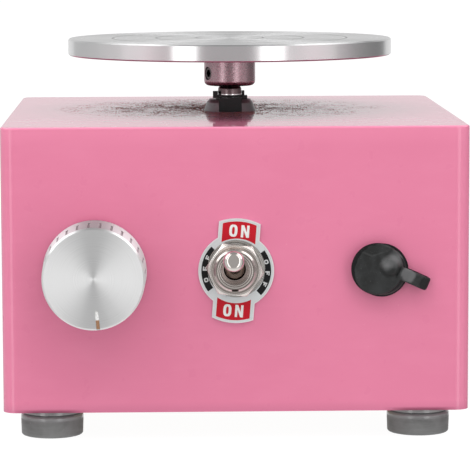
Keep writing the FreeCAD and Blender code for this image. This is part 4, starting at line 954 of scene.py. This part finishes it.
def make_world():
    """Soft boxes and grey walls round a white backdrop, which the camera itself sees white."""
    world = bpy.data.worlds.new("studio")
    scene.world = world
    world.use_nodes = True
    world.node_tree.nodes.clear()
    studio = Nodes(world.node_tree)
    x, y, z = studio.axes(studio.add("TexCoord").outputs["Generated"])

    angle = studio.math("ARCTAN2", x, studio.times(y, -1.0))
    turn = studio.math("ADD", studio.math("DIVIDE", angle, 2 * math.pi), 0.5)
    ramp = studio.add("ValToRGB", {}, {0: turn})
    stops = ramp.color_ramp.elements
    stops[0].position, stops[1].position = 0.0, 1.0
    for degrees, _ in HORIZON[1:-1]:
        stops.new(degrees / 360 + 0.5)
    peak = max(level for _, level in HORIZON)
    for stop, (_, level) in zip(stops, HORIZON):
        stop.color = (level / peak, level / peak, level / peak, 1.0)

    level = studio.times(ramp.outputs["Color"], peak)
    behind = studio.times(studio.fade(y, 0.4, 0.75), studio.fade(z, -0.02, 0.02))
    level = studio.times(level, studio.math("SUBTRACT", 1.0, studio.times(behind, BACK_SHADE)))
    flat = studio.math("SQRT", studio.math("ADD", studio.times(x, x), studio.times(y, y)))
    aside = studio.math("DIVIDE", studio.math("ABSOLUTE", x), flat)
    boxes = studio.times(studio.fade(aside, 0.82, 0.88), studio.fade(z, 0.38, 0.45))
    boxes = studio.times(boxes, studio.fade(z, 0.93, 0.88))
    path = studio.add("LightPath")
    mirrored = studio.times(path.outputs["Is Glossy Ray"], studio.fade(z, -0.55, -0.85))
    for mask, value in (
        (studio.fade(z, 0.78, 0.93), CEILING),
        (boxes, SIDE_BOXES),
        (studio.fade(z, -0.3, -0.7), LOW_WALLS),
        (mirrored, UNDERSIDE),
        (path.outputs["Is Camera Ray"], 1.0),
    ):
        mixed = studio.add("Mix", {"data_type": "FLOAT"}, {0: mask, 2: level, 3: value})
        level = mixed.outputs[0]
    background = studio.add("Background", {}, {"Color": (1, 1, 1, 1), "Strength": level})
    studio.feed(studio.add("OutputWorld").inputs["Surface"], background.outputs[0])


def make_floor():
    """A pale table that keeps a faint shadow and doesn't colour the object."""
    half_width, drop = 9.0, 0.0001
    build = bmesh.new()
    bmesh.ops.create_grid(build, x_segments=24, y_segments=24, size=half_width)
    mesh = finish_mesh("floor", build)
    floor = bpy.data.objects.new("floor", mesh)
    scene.collection.objects.link(floor)
    material = bpy.data.materials.new("floor")
    material.use_nodes = True
    shader = material.node_tree.nodes["Principled BSDF"]
    for socket, value in (
        ("Base Color", (0.10, 0.10, 0.10, 1)), ("Roughness", 1.0), ("Specular IOR Level", 0.0),
        ("Emission Color", (1, 1, 1, 1)), ("Emission Strength", 0.96),
    ):
        shader.inputs[socket].default_value = value
    mesh.materials.append(material)
    floor.visible_diffuse = False
    floor.visible_glossy = False
    floor.visible_transmission = False
    floor.location.z = -drop


def make_lamp():
    """A wide soft lamp over the front, which the metal doesn't mirror."""
    data = bpy.data.lights.new("overhead", "AREA")
    data.shape = "RECTANGLE"
    data.size, data.size_y = 1.1, 0.7
    data.energy = 5.0
    lamp = bpy.data.objects.new("overhead", data)
    scene.collection.objects.link(lamp)
    lamp.location = (-0.1, -0.35, 0.9)
    aim = Vector((0, 0, 0.06)) - lamp.location
    lamp.rotation_euler = aim.to_track_quat("-Z", "Y").to_euler()
    lamp.visible_camera = False
    lamp.visible_glossy = False


# the camera's yaw, pitch and roll in degrees, its place in millimetres and its focal length
CAMERA_TURN = (1.519, 6.682, -0.186)
CAMERA_PLACE = (-20.145, -814.481, 146.286)
FOCAL_LENGTH, SENSOR_WIDTH = 205.8, 36.0


def make_camera():
    """A long lens nearly square on to the front, a little above the turntable."""
    yaw, pitch, roll = (math.radians(a) for a in CAMERA_TURN)
    forward = Vector((
        math.sin(yaw) * math.cos(pitch), math.cos(yaw) * math.cos(pitch), -math.sin(pitch)
    ))
    right = Vector((math.cos(yaw), -math.sin(yaw), 0.0))
    up = right.cross(forward)
    across = right * math.cos(roll) + up * math.sin(roll)
    upward = -right * math.sin(roll) + up * math.cos(roll)
    data = bpy.data.cameras.new("camera")
    data.lens = FOCAL_LENGTH
    data.sensor_width = SENSOR_WIDTH
    data.clip_start, data.clip_end = 0.05, 50.0
    camera = bpy.data.objects.new("camera", data)
    scene.collection.objects.link(camera)
    camera.matrix_world = Matrix([
        (across[k], upward[k], -forward[k], CAMERA_PLACE[k] * MM) for k in range(3)
    ] + [(0, 0, 0, 1)])
    scene.camera = camera


scene.view_settings.view_transform = "Standard"
materials = make_materials()
dress_nodes(materials)
make_fields()
make_words()
make_label_edge()
make_nut_edge()
make_pointer()
make_dust()
make_lid(rubber_finish("lid_rubber", True))
make_tether(materials["cap_rubber"])
make_world()
make_floor()
make_lamp()
make_camera()
